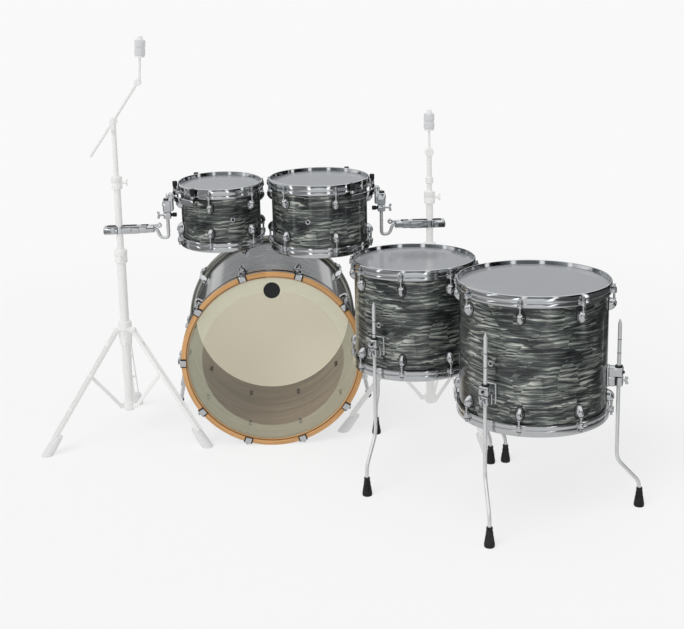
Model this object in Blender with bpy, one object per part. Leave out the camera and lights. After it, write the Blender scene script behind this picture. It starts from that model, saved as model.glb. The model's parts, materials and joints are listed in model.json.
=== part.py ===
"""Five-piece drum kit: bass drum, two rack toms, two floor toms and the two stands that carry
the rack toms. Metres, +Z up, the drummer's side faces -Y, the floor is z = 0."""

from dataclasses import dataclass
from math import atan2, cos, hypot, pi, radians, sin, tan

import bmesh
import bpy
from mathutils import Matrix, Vector

INCH = 0.0254

# Clearances between separate pieces
GAP = 0.0003
RUNNING_GAP = 0.0004
BITE = 0.0010
SUNK = 0.0040
PAST = 0.0100
HOOP_PLAY = 0.0006
SAME_PLACE = 1e-6

# How many flat sides stand for a round
BASS_SIDES = 40
TOM_SIDES = 24
TUBE_SIDES = 12
PIN_SIDES = 10
ROD_SIDES = 8
SCREW_SIDES = 6
SCREW_RADIUS = 0.0035
ARC_SEGMENTS = 12
BEND_STEPS = 3
SHARP_ANGLE = radians(32)
MARKER_SIZE = 0.03

# Drum shells: diameter and depth are the trade sizes
BASS_DIAMETER = 22 * INCH
BASS_DEPTH = 18 * INCH
SMALL_TOM_DIAMETER = 10 * INCH
SMALL_TOM_DEPTH = 7 * INCH
LARGE_TOM_DIAMETER = 12 * INCH
LARGE_TOM_DEPTH = 8 * INCH
SMALL_FLOOR_DIAMETER = 14 * INCH
SMALL_FLOOR_DEPTH = 12 * INCH
LARGE_FLOOR_DIAMETER = 16 * INCH
LARGE_FLOOR_DEPTH = 14 * INCH
TOM_WALL = 0.0060
BASS_WALL = 0.0080

# Drumheads: a film with a flesh hoop round its edge
FILM = 0.0010
FLESH_HOOP_INSIDE = 0.0008
FLESH_HOOP_OUTSIDE = 0.0060
FLESH_HOOP_DROP = 0.0090

# Die-cast hoops of the toms, measured out from the shell and up from its edge
HOOP_REACH = 0.0080
HOOP_WALL = 0.0016
HOOP_LIP = 0.0025
HOOP_RISE = 0.0135
HOOP_SKIRT = 0.0180

# Tension rods of the toms, and the ears of the hoop that hold them
ROD_OUT = 0.0135
ROD_RADIUS = 0.0030
EAR_RADIUS = 0.0068
EAR_TOP = -0.0030

# Lugs on the shells
LUG_FROM_EDGE = 0.0480
LUG_HALF_HEIGHT = 0.0165
LUG_REACH = 0.0225
LUG_HALF_WIDTH = 0.0125
BASS_LUG_FROM_EDGE = 0.0950
BASS_LUG_HALF_HEIGHT = 0.0225
BASS_LUG_REACH = 0.0270

# A lug's section, as shares of its reach and width, and its thin end's reach
LUG_SUNK = 0.6
LUG_SHOULDER = 0.62
LUG_SHOULDER_WIDTH = 0.9
LUG_TAIL_WIDTH = 0.55
LUG_TAIL_SHOULDER_WIDTH = 0.5
LUG_TAIL_SHOULDER = 0.0030
LUG_TAIL_REACH = 0.0080

# Wooden hoops of the bass drum, with their claws and rods
BASS_HOOP_REACH = 0.0126
BASS_HOOP_LIP = -0.0040
BASS_HOOP_RISE = 0.0100
BASS_HOOP_SKIRT = 0.0260
CLAW_HALF_WIDTH = 0.0110
CLAW_REACH = 0.0235
CLAW_PLATE = 0.0035
CLAW_TAIL = 0.0300
CLAW_FACE_IN = 0.0050
CLAW_SHOULDER = 0.0165
BASS_ROD_OUT = 0.0190
BASS_ROD_RADIUS = 0.0032
BASS_ROD_HEAD = 0.0090

# Spurs that hold the far end of the bass drum up
SPUR_FROM_FAR_EDGE = 0.1570
SPUR_BELOW_SIDE = radians(18)
SPUR_TUBE_RADIUS = 0.0095
SPUR_LEG_RADIUS = 0.0065
SPUR_PIVOT_OUT = 0.0330
SPUR_SPLAY = 0.0420
SPUR_LEAN = 0.1060
SPUR_TUBE_LENGTH = 0.1350
SPUR_TUBE_START = 0.0060
SPUR_BORE_START = 0.0300
SPUR_EYE_RADIUS = 0.0130
SPUR_LEG_START = 0.0450
SPUR_TIP_RADIUS = 0.0100
SPUR_TIP_LENGTH = 0.0300
SPUR_TIP_TAPER = 0.0100
SPUR_END_RADIUS = 0.0040
SPUR_BLOCK_REACH = 0.0180
SPUR_BLOCK_HALF_WIDTH = 0.0170
SPUR_BLOCK_HALF_LENGTH = 0.0200
SPUR_BOSS_RADIUS = 0.0100
SPUR_BOSS_LENGTH = 0.0180

# Floor-tom legs
LEG_RADIUS = 0.00525
LEG_OUT = 0.0310
LEG_BRACKET_REACH = 0.0450
LEG_BRACKET_HALF_WIDTH = 0.0170
LEG_BRACKET_HALF_HEIGHT = 0.0280
LEG_SCREW_RADIUS = 0.0040
LEG_SCREW_LENGTH = 0.0100
LEG_SCREW_DROP = 0.0100
LEG_WING_HALF_SPAN = 0.0130
LEG_WING_HALF_THICKNESS = 0.0050
LEG_WING_DEPTH = 0.0050
LEG_TOP = 0.5620
LEG_POINT_LENGTH = 0.0140
LEG_BEND = 0.1620
LEG_BEND_EASE = 0.0200
LEG_FOOT_TOP = 0.0560
LEG_FOOT_RADIUS = 0.0145
LEG_FOOT_NECK = 0.0087
LEG_FOOT_RIM = 0.0100
POINT_SHARE = 0.3

# Each leg's bracket angle and height, the twist of its bend, and how far out its foot stands
SMALL_FLOOR_LEGS = [(radians(-127), 0.4260, radians(13.6), 0.0727),
                    (radians(6), 0.4380, radians(-29.0), 0.0785),
                    (radians(120.5), 0.4380, radians(-25.6), 0.0680)]
LARGE_FLOOR_LEGS = [(radians(-131), 0.3900, radians(42.8), 0.0789),
                    (radians(-18.5), 0.4000, radians(48.7), 0.0900),
                    (radians(116.5), 0.4000, radians(-44.4), 0.0888)]

# Rack-tom holders, measured along the arm from the stand's axis
HOLDER_REACH = 0.1955
HOLDER_ROD_RADIUS = 0.0055
HOLDER_ROD_SHORT = 0.0385
CLAMP_START = -0.0500
CLAMP_END = 0.1120
CLAMP_TONGUE = 0.1380
CLAMP_TONGUE_ROOT = 0.0920
CLAMP_TONGUE_HALF_WIDTH = 0.0090
CLAMP_HALF_HEIGHT = 0.0140
CLAMP_HALF_WIDTH = 0.0150
CLAMP_SOCKET_DEPTH = 0.0300
HOLDER_ROD_IN_SOCKET = 0.0280
HOLDER_NECK = 0.0080
HOLDER_NECK_RUN = 0.0120
HOLDER_BEND_EASE = 0.0080
HOLDER_DIP = 0.0320
HOLDER_TIP = 0.1160
HOLDER_POINT_LENGTH = 0.0220
HOLDER_BLOCK_HALF_WIDTH = 0.0140
HOLDER_ARC_OUT = 0.0235
HOLDER_ARC_PLATE = 0.0040
HOLDER_ARC_TOP = -0.0200
HOLDER_ARC_HEIGHT = 0.0180
HOLDER_ARC_HALF_ANGLE = radians(58)
HOLDER_RUBBER_AT = radians(55)
HOLDER_BLOCK_LOW = -0.0840
HOLDER_BLOCK_HIGH = -0.0460
HOLDER_BLOCK_BACK = 0.0160
HOLDER_BLOCK_FRONT = 0.0120
PAD_HALF_WIDTH = 0.0080
PAD_LOW = -0.0300
PAD_HIGH = 0.0155
STOP_COLLAR_HALF_WIDTH = 0.0120
STOP_COLLAR_HEIGHT = 0.0230
STOP_SCREW_BACK = 0.0260
STOP_SCREW_LENGTH = 0.0560
STOP_WING_BACK = 0.0320
STOP_WING_DEPTH = 0.0080
STOP_WING_HALF_WIDTH = 0.0040
STOP_WING_HALF_SPAN = 0.0120
STOP_KNOB_RADIUS = 0.0070
STOP_KNOB_OUT = 0.0200
STOP_KNOB_LENGTH = 0.0120

# Stand tubes and legs
BASE_TUBE_RADIUS = 0.0143
MID_TUBE_RADIUS = 0.0111
TOP_TUBE_RADIUS = 0.0080
BASE_TUBE_LOW = 0.0880
BASE_JOINT_BELOW_CLAMP = 0.0524
BASE_JOINT_RADIUS = 0.0203
BASE_JOINT_HEIGHT = 0.0420
HUB_HEIGHT = 0.1050
HUB_RADIUS = 0.0185
HUB_HALF_HEIGHT = 0.0120
HUB_PIVOT_OUT = 0.0290
HUB_EAR_HALF_HEIGHT = 0.0080
HUB_EAR_PAST_PIVOT = 0.0060
COLLAR_HEIGHT = 0.3650
COLLAR_RADIUS = 0.0215
COLLAR_PIVOT_OUT = 0.0320
COLLAR_HALF_HEIGHT = 0.0280
COLLAR_EAR_HALF_HEIGHT = 0.0100
COLLAR_EAR_PAST_PIVOT = 0.0080
COLLAR_SCREW_UP = 0.0100
COLLAR_SCREW_LENGTH = 0.0240
COLLAR_HANDLE_RADIUS = 0.0045
COLLAR_HANDLE_HALF_LENGTH = 0.0200
STOP_RING_RADIUS = 0.0200
STOP_RING_HEIGHT = 0.0220
MID_TUBE_ABOVE_COLLAR = 0.0350
WING_SCREW_LENGTH = 0.0180
WING_HALF_SPAN = 0.0110
WING_HALF_THICKNESS = 0.0025
WING_DEPTH = 0.0080
STAND_FOOT_OUT = 0.2954
STAND_FOOT_RADIUS = 0.0195
STAND_FOOT_HEIGHT = 0.0560
STAND_FOOT_BAND = 0.0120
STAND_FOOT_TAPER = 0.92
STAND_FOOT_AIM = 0.25
STAND_LEGS = 3
LEFT_FIRST_LEG = radians(-144.5)
RIGHT_FIRST_LEG = radians(-176)
RAIL_INSIDE = 0.0055
RAIL_PLATE = 0.0030
RAIL_HALF_WIDTH = 0.0065
RAIL_IN_FOOT = 0.0100
SPACER_ALONG_LEG = 0.0450
SPACER_LENGTH = 0.0150
BRACE_ALONG_LEG = 0.1660
BRACE_PLATE = 0.0040
BRACE_HALF_WIDTH = 0.0060

# Upper tubes of the stands: two tubes in a cast joint, measured up from the tom's clamp
UPPER_JOINT_RADIUS = 0.0175
UPPER_JOINT_HEIGHT = 0.0400
LEFT_JOINT_ABOVE_CLAMP = 0.1336
RIGHT_JOINT_ABOVE_CLAMP = 0.0654
LEFT_TOP_TUBE = 0.1780
RIGHT_TOP_TUBE = 0.1330
UPPER_SCREW_OUT = 0.0150
UPPER_SCREW_LENGTH = 0.0160
UPPER_WING_RADIUS = 0.0110
UPPER_WING_DEPTH = 0.0050

# Boom arm of the left stand, measured from its pivot, and its fork on the tube
BOOM_RADIUS = 0.0050
BOOM_BUTT = (-0.0800, -0.1120)
BOOM_LOWER_BEND = (-0.0300, -0.0420)
BOOM_UPPER_BEND = (0.0300, 0.0440)
BOOM_TILTER = (0.0840, 0.1220)
BOOM_KNUCKLE_RADIUS = 0.0125
BOOM_KNUCKLE_HALF_WIDTH = 0.0087
BOOM_TILTER_RADIUS = 0.0110
BOOM_TILTER_HALF_WIDTH = 0.0120
BOOM_ROD_LEAN = radians(4)
FORK_TUBE_BELOW_PIVOT = 0.0310
FORK_WEB_BELOW_PIVOT = 0.0260
FORK_BELOW_TUBE_TOP = 0.0060
FORK_ABOVE_PIVOT = 0.0130
FORK_CHEEK = 0.0050
FORK_HALF_DEPTH = 0.0050

# Cymbal rods with their felts, and the right stand's knuckle and tilter
CYMBAL_ROD_RADIUS = 0.0040
CYMBAL_ROD_BELOW = 0.0040
FELT_RADIUS = 0.0170
FELT_HEIGHT = 0.0560
FELT_BASE_RADIUS = 0.0153
FELT_BASE_HEIGHT = 0.0040
FELT_SEAT = 0.0020
FELT_SHOULDER = 0.0060
NUT_RADIUS = 0.0080
NUT_HEIGHT = 0.0040
LEFT_FELT_ABOVE_TILTER = 0.0840
LEFT_ROD_OUT = 0.0060
RIGHT_FELT_ABOVE_TILTER = 0.0700
RIGHT_KNUCKLE_ABOVE_JOINT = 0.0260
RIGHT_KNUCKLE_HEIGHT = 0.0200
RIGHT_KNUCKLE_RADIUS = 0.0125
RIGHT_TILTER_RADIUS = 0.0140
RIGHT_TILTER_HALF_WIDTH = 0.0110
RIGHT_TILTER_BELOW_ROD = 0.0060

# Where things stand. The near face of the bass drum is given, and the rest follows by gaps.
BASS_NEAR_FACE = (-0.15675, 0.1168)
BASS_YAW = radians(3.26)
BASS_RISE = radians(2.29)
FLOOR_TO_BASS_GAP = 0.0269
FLOOR_TO_BASS_BEARING = radians(-45.6)
FLOOR_TO_FLOOR_GAP = 0.0423
FLOOR_TO_FLOOR_BEARING = radians(-45.2)
RACK_TO_FLOOR_GAP = 0.0486
RACK_TO_FLOOR_BEARING = radians(135.8)
RACK_TO_RACK_GAP = 0.0259
RACK_TO_RACK_BEARING = radians(174.6)
LEFT_STAND_BEARING = radians(183.5)
RIGHT_STAND_BEARING = radians(3.2)
SMALL_TOM_OVER_BASS = 0.0655
LARGE_TOM_OVER_BASS = 0.0510
HOLDER_BELOW_TOM_MIDDLE = 0.0510
SMALL_TOM_LEAN = radians(3.9)
LARGE_TOM_LEAN = radians(-2.1)
SMALL_FLOOR_HEIGHT = 0.3255
LARGE_FLOOR_HEIGHT = 0.2815

CHROME = ((0.62, 0.63, 0.64), 0.12, 1.0)
SATIN = ((0.76, 0.76, 0.77), 0.45, 0.2)
WRAP = ((0.12, 0.13, 0.13), 0.25, 0.0)
FILM_COAT = ((0.55, 0.54, 0.56), 0.40, 0.0)
CLEAR_FILM = ((0.60, 0.59, 0.53), 0.20, 0.0)
CREAM_FILM = ((0.78, 0.75, 0.65), 0.45, 0.0)
MAPLE = ((0.62, 0.42, 0.22), 0.35, 0.0)
DARK_HOOP = ((0.24, 0.25, 0.22), 0.30, 0.0)


@dataclass
class Drum:
    """One drum's driving sizes. Its own frame has its origin at the shell's middle, +Z to its top."""
    name: str
    diameter: float
    depth: float
    wall: float
    lugs: int
    first_lug: float
    sides: int
    hoop_reach: float = HOOP_REACH
    lug_from_edge: float = LUG_FROM_EDGE
    lug_half_height: float = LUG_HALF_HEIGHT
    lug_reach: float = LUG_REACH

    @property
    def radius(self):
        return self.diameter / 2

    @property
    def edge(self):
        return self.depth / 2

    @property
    def hoop_radius(self):
        return self.radius + self.hoop_reach

    @property
    def lug_angles(self):
        return [self.first_lug + 2 * pi * k / self.lugs for k in range(self.lugs)]


BASS = Drum("bass", BASS_DIAMETER, BASS_DEPTH, BASS_WALL, 10, radians(72), BASS_SIDES,
            BASS_HOOP_REACH, BASS_LUG_FROM_EDGE, BASS_LUG_HALF_HEIGHT, BASS_LUG_REACH)
SMALL_TOM = Drum("tom10", SMALL_TOM_DIAMETER, SMALL_TOM_DEPTH, TOM_WALL, 6, radians(-99.5), TOM_SIDES)
LARGE_TOM = Drum("tom12", LARGE_TOM_DIAMETER, LARGE_TOM_DEPTH, TOM_WALL, 6, radians(-131), TOM_SIDES)
SMALL_FLOOR = Drum("floor14", SMALL_FLOOR_DIAMETER, SMALL_FLOOR_DEPTH, TOM_WALL, 8, radians(-104.5),
                   TOM_SIDES)
LARGE_FLOOR = Drum("floor16", LARGE_FLOOR_DIAMETER, LARGE_FLOOR_DEPTH, TOM_WALL, 8, radians(-108.5),
                   TOM_SIDES)


def clear_scene():
    for old in list(bpy.data.objects):
        bpy.data.objects.remove(old, do_unlink=True)


def finish(name, look):
    colour, roughness, metallic = look
    material = bpy.data.materials.new(name)
    material.use_nodes = True
    shader = material.node_tree.nodes["Principled BSDF"]
    shader.inputs["Base Color"].default_value = (*colour, 1.0)
    shader.inputs["Roughness"].default_value = roughness
    shader.inputs["Metallic"].default_value = metallic
    return material


def empty(name, matrix, parent=None):
    """An axis marker that carries the pieces round it."""
    marker = bpy.data.objects.new(name, None)
    marker.empty_display_size = MARKER_SIZE
    bpy.context.scene.collection.objects.link(marker)
    marker.parent = parent
    marker.matrix_basis = matrix
    return marker


def plain_object(name, shape, frame):
    bmesh.ops.recalc_face_normals(shape, faces=shape.faces)
    mesh = bpy.data.meshes.new(name)
    shape.to_mesh(mesh)
    shape.free()
    mesh.shade_smooth()
    mesh.set_sharp_from_angle(angle=SHARP_ANGLE)
    made = bpy.data.objects.new(name, mesh)
    bpy.context.scene.collection.objects.link(made)
    made.parent = frame
    return made


def guide(name, shape, frame):
    """A shape that only joins or cuts another."""
    made = plain_object(name, shape, frame)
    made.hide_render = True
    made.display_type = "WIRE"
    return made


def node(name, shape, frame, look, joins=(), cuts=()):
    """One named piece. Each shape in joins is united with it, then each shape in cuts is cut away."""
    made = plain_object(name, shape, frame)
    made.data.materials.append(finish(name, look))
    for operation, shapes in (("UNION", joins), ("DIFFERENCE", cuts)):
        for count, extra in enumerate(shapes):
            step = made.modifiers.new(f"{operation.lower()}_{count}", "BOOLEAN")
            step.operation = operation
            step.solver = "EXACT"
            step.object = guide(f"{name}_{operation.lower()}_{count}", extra, frame)
    return made


def ring_of(shape, radius, height, sides, first=0.0):
    """A level ring of vertices about the Z axis."""
    angles = [first + 2 * pi * k / sides for k in range(sides)]
    return [shape.verts.new((radius * cos(a), radius * sin(a), height)) for a in angles]


def bridge(shape, lower, upper):
    count = len(lower)
    for k in range(count):
        after = (k + 1) % count
        shape.faces.new((lower[k], lower[after], upper[after], upper[k]))


def turned(profile, sides, first=0.0, hollow=False, shape=None, place=None):
    """A turned solid about Z. A hollow profile is a closed (radius, height) outline; any other runs
    from the flat bottom to the flat top."""
    shape = shape or bmesh.new()
    rings = [ring_of(shape, radius, height, sides, first) for radius, height in profile]
    for lower, upper in zip(rings, rings[1:]):
        bridge(shape, lower, upper)
    if hollow:
        bridge(shape, rings[-1], rings[0])
    else:
        shape.faces.new(rings[0])
        shape.faces.new(rings[-1])
    if place is not None:
        bmesh.ops.transform(shape, matrix=place, verts=[v for ring in rings for v in ring])
    return shape


def prism(outline, low, high, place=None, shape=None):
    """A flat outline in X and Y, raised from low to high along Z."""
    shape = shape or bmesh.new()
    bottom = [shape.verts.new((x, y, low)) for x, y in outline]
    top = [shape.verts.new((x, y, high)) for x, y in outline]
    shape.faces.new(bottom)
    shape.faces.new(top)
    bridge(shape, bottom, top)
    if place is not None:
        bmesh.ops.transform(shape, matrix=place, verts=bottom + top)
    return shape


def box(low, high, place=None, shape=None):
    outline = [(low[0], low[1]), (high[0], low[1]), (high[0], high[1]), (low[0], high[1])]
    return prism(outline, low[2], high[2], place, shape)


def rod(path, sides, shape=None, place=None):
    """A bar along a path of (point, radius). Two entries at one point make a step in its width."""
    shape = shape or bmesh.new()
    points = [Vector(point) for point, _ in path]
    ways = []
    for here, there in zip(points, points[1:]):
        step = there - here
        ways.append(step.normalized() if step.length > SAME_PLACE else None)
    for index, way in enumerate(ways):
        if way is None:
            ways[index] = ways[index - 1] if index else ways[index + 1]
    across = ways[0].orthogonal().normalized()
    rings = []
    for index, point in enumerate(points):
        before = ways[max(index - 1, 0)]
        after = ways[min(index, len(ways) - 1)]
        along = (before + after).normalized()
        across = (across - along * across.dot(along)).normalized()
        other = along.cross(across)
        radius = path[index][1]
        angles = [2 * pi * k / sides for k in range(sides)]
        rings.append([shape.verts.new(point + (across * cos(a) + other * sin(a)) * radius) for a in angles])
    for lower, upper in zip(rings, rings[1:]):
        bridge(shape, lower, upper)
    shape.faces.new(rings[0])
    shape.faces.new(rings[-1])
    if place is not None:
        bmesh.ops.transform(shape, matrix=place, verts=[v for ring in rings for v in ring])
    return shape


def eased(corners, ease):
    """The points of a bent bar: each corner becomes a curve that starts this far before it."""
    points = [Vector(corners[0])]
    for before, corner, after in zip(corners, corners[1:], corners[2:]):
        before, corner, after = Vector(before), Vector(corner), Vector(after)
        start = corner + (before - corner).normalized() * min(ease, (before - corner).length / 2 - BITE)
        stop = corner + (after - corner).normalized() * min(ease, (after - corner).length / 2 - BITE)
        for step in range(BEND_STEPS + 1):
            t = step / BEND_STEPS
            points.append(start * (1 - t) ** 2 + corner * 2 * t * (1 - t) + stop * t ** 2)
    return points + [Vector(corners[-1])]


def frame_along(origin, along, up):
    """A matrix whose Z runs along a direction and whose X leans towards another."""
    z_axis = Vector(along).normalized()
    x_axis = (Vector(up) - z_axis * Vector(up).dot(z_axis)).normalized()
    y_axis = z_axis.cross(x_axis)
    matrix = Matrix((x_axis, y_axis, z_axis)).transposed().to_4x4()
    matrix.translation = Vector(origin)
    return matrix


def turn(angle):
    return Matrix.Rotation(angle, 4, "Z")


def bore_for(radius, sides):
    """The corner radius of a faceted bore whose flats clear a round bar of this radius."""
    return (radius + RUNNING_GAP) / cos(pi / sides)


def move(x, y, z):
    return Matrix.Translation((x, y, z))


def both_sides(half):
    """An outline from its +Y half, which ends on the X axis."""
    return [(x, -y) for x, y in half[:-1]] + half[::-1]


def lug(drum, angle, end, shape):
    """A cast lug: flat where its rod goes in, and falling away to the shell at its other end."""
    middle = drum.edge - drum.lug_from_edge
    near_rod = end * (middle + drum.lug_half_height)
    far_end = end * (middle - drum.lug_half_height)
    inside = drum.radius - drum.wall * LUG_SUNK
    reach = drum.radius + drum.lug_reach
    shoulder = drum.radius + drum.lug_reach * LUG_SHOULDER
    wide = [(inside, LUG_HALF_WIDTH), (shoulder, LUG_HALF_WIDTH * LUG_SHOULDER_WIDTH), (reach, 0.0)]
    narrow = [(inside, LUG_HALF_WIDTH * LUG_TAIL_WIDTH),
              (drum.radius + LUG_TAIL_SHOULDER, LUG_HALF_WIDTH * LUG_TAIL_SHOULDER_WIDTH),
              (drum.radius + LUG_TAIL_REACH, 0.0)]
    top = [shape.verts.new((x, y, near_rod)) for x, y in both_sides(wide)]
    bottom = [shape.verts.new((x, y, far_end)) for x, y in both_sides(narrow)]
    shape.faces.new(top)
    shape.faces.new(bottom)
    bridge(shape, bottom, top)
    bmesh.ops.transform(shape, matrix=turn(angle), verts=top + bottom)


def shell(drum):
    outside = drum.radius
    inside = drum.radius - drum.wall
    profile = [(inside, -drum.edge), (outside, -drum.edge), (outside, drum.edge), (inside, drum.edge)]
    return turned(profile, drum.sides, drum.first_lug, hollow=True)


def lugs(drum):
    shape = bmesh.new()
    for angle in drum.lug_angles:
        for end in (1, -1):
            lug(drum, angle, end, shape)
    return shape


def head(drum, end):
    """A drumhead: a film with a flesh hoop that fits over the shell's edge."""
    film_low = drum.edge + GAP
    film_high = film_low + FILM
    outside = drum.radius + FLESH_HOOP_OUTSIDE
    inside = drum.radius + FLESH_HOOP_INSIDE
    profile = [(inside, film_low), (inside, drum.edge - FLESH_HOOP_DROP),
               (outside, drum.edge - FLESH_HOOP_DROP), (outside, film_high)]
    return turned([(r, z * end) for r, z in profile], drum.sides, drum.first_lug)


def cast_hoop(drum, end):
    """A die-cast hoop: its lip presses on the flesh hoop and its skirt hangs outside."""
    lip_low = drum.edge + GAP + FILM + GAP
    skirt_inside = drum.hoop_radius - HOOP_WALL
    lip_inside = drum.radius + HOOP_LIP
    profile = [(lip_inside, lip_low), (lip_inside, drum.edge + HOOP_RISE),
               (drum.hoop_radius, drum.edge + HOOP_RISE), (drum.hoop_radius, drum.edge - HOOP_SKIRT),
               (skirt_inside, drum.edge - HOOP_SKIRT), (skirt_inside, lip_low)]
    return turned([(r, z * end) for r, z in profile], drum.sides, drum.first_lug, hollow=True)


def tension_rods(drum, end):
    """The hoop's ears with their rods, which reach down to the lugs."""
    shape = bmesh.new()
    lug_top = drum.edge - drum.lug_from_edge + drum.lug_half_height
    profile = [(ROD_RADIUS, lug_top + GAP), (ROD_RADIUS, drum.edge - HOOP_SKIRT),
               (EAR_RADIUS, drum.edge - HOOP_SKIRT), (EAR_RADIUS, drum.edge + EAR_TOP)]
    for angle in drum.lug_angles:
        place = turn(angle) @ move(drum.radius + ROD_OUT, 0, 0)
        turned([(r, z * end) for r, z in profile], SCREW_SIDES, shape=shape, place=place)
    return shape


def wood_hoop(drum, end):
    lip_low = drum.edge + GAP + FILM + GAP
    skirt_inside = drum.radius + FLESH_HOOP_OUTSIDE + HOOP_PLAY
    lip_inside = drum.radius + BASS_HOOP_LIP
    top = drum.edge + BASS_HOOP_RISE
    low = drum.edge - BASS_HOOP_SKIRT
    profile = [(lip_inside, lip_low), (lip_inside, top), (drum.hoop_radius, top),
               (drum.hoop_radius, low), (skirt_inside, low), (skirt_inside, lip_low)]
    return turned([(r, z * end) for r, z in profile], drum.sides, drum.first_lug, hollow=True)


def claws(drum, end):
    """Claws that hook over the wooden hoop, each a bent plate across the hoop's face and side."""
    shape = bmesh.new()
    top = drum.edge + BASS_HOOP_RISE
    outer = drum.radius + CLAW_REACH
    side_in = drum.hoop_radius - BITE
    face_in = drum.radius + CLAW_FACE_IN
    outline = [(face_in, top - BITE), (side_in, top - BITE), (side_in, drum.edge - CLAW_TAIL),
               (outer, drum.edge - CLAW_TAIL), (outer, drum.edge - CLAW_SHOULDER),
               (drum.hoop_radius + CLAW_PLATE, top + CLAW_PLATE), (face_in, top + CLAW_PLATE)]
    for angle in drum.lug_angles:
        stand_up = Matrix.Rotation(pi / 2, 4, "X")
        flat = [(r, z * end) for r, z in outline]
        prism(flat, -CLAW_HALF_WIDTH, CLAW_HALF_WIDTH, turn(angle) @ stand_up, shape)
    return shape


def claw_rods(drum, end):
    shape = bmesh.new()
    lug_top = drum.edge - drum.lug_from_edge + drum.lug_half_height
    profile = [(BASS_ROD_RADIUS, lug_top + GAP), (BASS_ROD_RADIUS, drum.edge + BASS_ROD_HEAD)]
    for angle in drum.lug_angles:
        place = turn(angle) @ move(drum.radius + BASS_ROD_OUT, 0, 0)
        turned([(r, z * end) for r, z in profile], SCREW_SIDES, shape=shape, place=place)
    return shape


def heads_and_cast_hoops(drum, frame):
    node(f"{drum.name}_top_head", head(drum, 1), frame, FILM_COAT)
    node(f"{drum.name}_bottom_head", head(drum, -1), frame, CLEAR_FILM)
    for label, end in (("top", 1), ("bottom", -1)):
        node(f"{drum.name}_{label}_hoop", cast_hoop(drum, end), frame, CHROME,
             joins=[tension_rods(drum, end)])


def bearing(start, distance, angle):
    return start[0] + distance * cos(angle), start[1] + distance * sin(angle)


def layout():
    """Plan positions of all the drums and stands, chained from the bass drum by the gaps."""
    bass_corner = (BASS_NEAR_FACE[0] + BASS.hoop_radius, BASS_NEAR_FACE[1])
    small_floor = bearing(bass_corner, SMALL_FLOOR.hoop_radius + FLOOR_TO_BASS_GAP, FLOOR_TO_BASS_BEARING)
    reach = SMALL_FLOOR.hoop_radius + LARGE_FLOOR.hoop_radius + FLOOR_TO_FLOOR_GAP
    large_floor = bearing(small_floor, reach, FLOOR_TO_FLOOR_BEARING)
    reach = SMALL_FLOOR.hoop_radius + LARGE_TOM.hoop_radius + RACK_TO_FLOOR_GAP
    large_tom = bearing(small_floor, reach, RACK_TO_FLOOR_BEARING)
    reach = LARGE_TOM.hoop_radius + SMALL_TOM.hoop_radius + RACK_TO_RACK_GAP
    small_tom = bearing(large_tom, reach, RACK_TO_RACK_BEARING)
    left_stand = bearing(small_tom, SMALL_TOM.hoop_radius + HOLDER_REACH, LEFT_STAND_BEARING)
    right_stand = bearing(large_tom, LARGE_TOM.hoop_radius + HOLDER_REACH, RIGHT_STAND_BEARING)
    return small_floor, large_floor, large_tom, small_tom, left_stand, right_stand


def bass_frame():
    """The bass drum lies on its near hoop and rises to its far end. Its own +Z points to the drummer."""
    out = Vector((sin(BASS_YAW) * cos(BASS_RISE), -cos(BASS_YAW) * cos(BASS_RISE), -sin(BASS_RISE)))
    right = Vector((cos(BASS_YAW), sin(BASS_YAW), 0.0))
    matrix = frame_along((0, 0, 0), out, right)
    half_length = BASS.edge + BASS_HOOP_RISE
    face = Vector((*BASS_NEAR_FACE, BASS.hoop_radius * cos(BASS_RISE)))
    matrix.translation = face - out * half_length
    return matrix


def spur_line(side):
    """One spur in the bass drum's own frame: its pivot, its way down to the floor and its hinge."""
    out = BASS.radius + SPUR_PIVOT_OUT
    along = -(BASS.edge - SPUR_FROM_FAR_EDGE)
    pivot = Vector((out * side * cos(SPUR_BELOW_SIDE), -out * sin(SPUR_BELOW_SIDE), along))
    height = (bass_frame() @ pivot).z
    tip_rise = SPUR_END_RADIUS * sin(atan2(hypot(SPUR_SPLAY, SPUR_LEAN), height))
    drop = (height - tip_rise + SPUR_LEAN * sin(BASS_RISE)) / cos(BASS_RISE)
    fall = Vector((side * SPUR_SPLAY, -drop, -SPUR_LEAN))
    hinge = fall.cross(Vector((0, 0, 1))).normalized() * side
    return pivot, fall, hinge


def spur(side, label, frame):
    """One spur: a tube that folds on its bracket, with a leg that slides out of it."""
    pivot, fall, hinge = spur_line(side)
    length = fall.length
    way = fall.normalized()
    pivot_frame = empty(f"{label}_spur_pivot", frame_along(pivot, hinge, way), frame)
    bore = bore_for(SPUR_LEG_RADIUS, ROD_SIDES)
    lie_down = frame_along((0, 0, 0), (1, 0, 0), (0, 1, 0))
    tube = turned([(SPUR_TUBE_RADIUS, SPUR_TUBE_START), (SPUR_TUBE_RADIUS, SPUR_TUBE_LENGTH)], ROD_SIDES,
                  place=lie_down)
    eye = turned([(SPUR_EYE_RADIUS, -SPUR_TUBE_RADIUS), (SPUR_EYE_RADIUS, SPUR_TUBE_RADIUS)], PIN_SIDES)
    hole = turned([(bore, SPUR_BORE_START), (bore, SPUR_TUBE_LENGTH + PAST)], ROD_SIDES, place=lie_down)
    node(f"{label}_spur_tube", tube, pivot_frame, CHROME, joins=[eye], cuts=[hole])
    leg = turned([(SPUR_LEG_RADIUS, SPUR_LEG_START), (SPUR_LEG_RADIUS, length - SPUR_TIP_LENGTH),
                  (SPUR_TIP_RADIUS, length - SPUR_TIP_LENGTH), (SPUR_TIP_RADIUS, length - SPUR_TIP_TAPER),
                  (SPUR_END_RADIUS, length)], ROD_SIDES, place=lie_down)
    node(f"{label}_spur_leg", leg, pivot_frame, CHROME)


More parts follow.
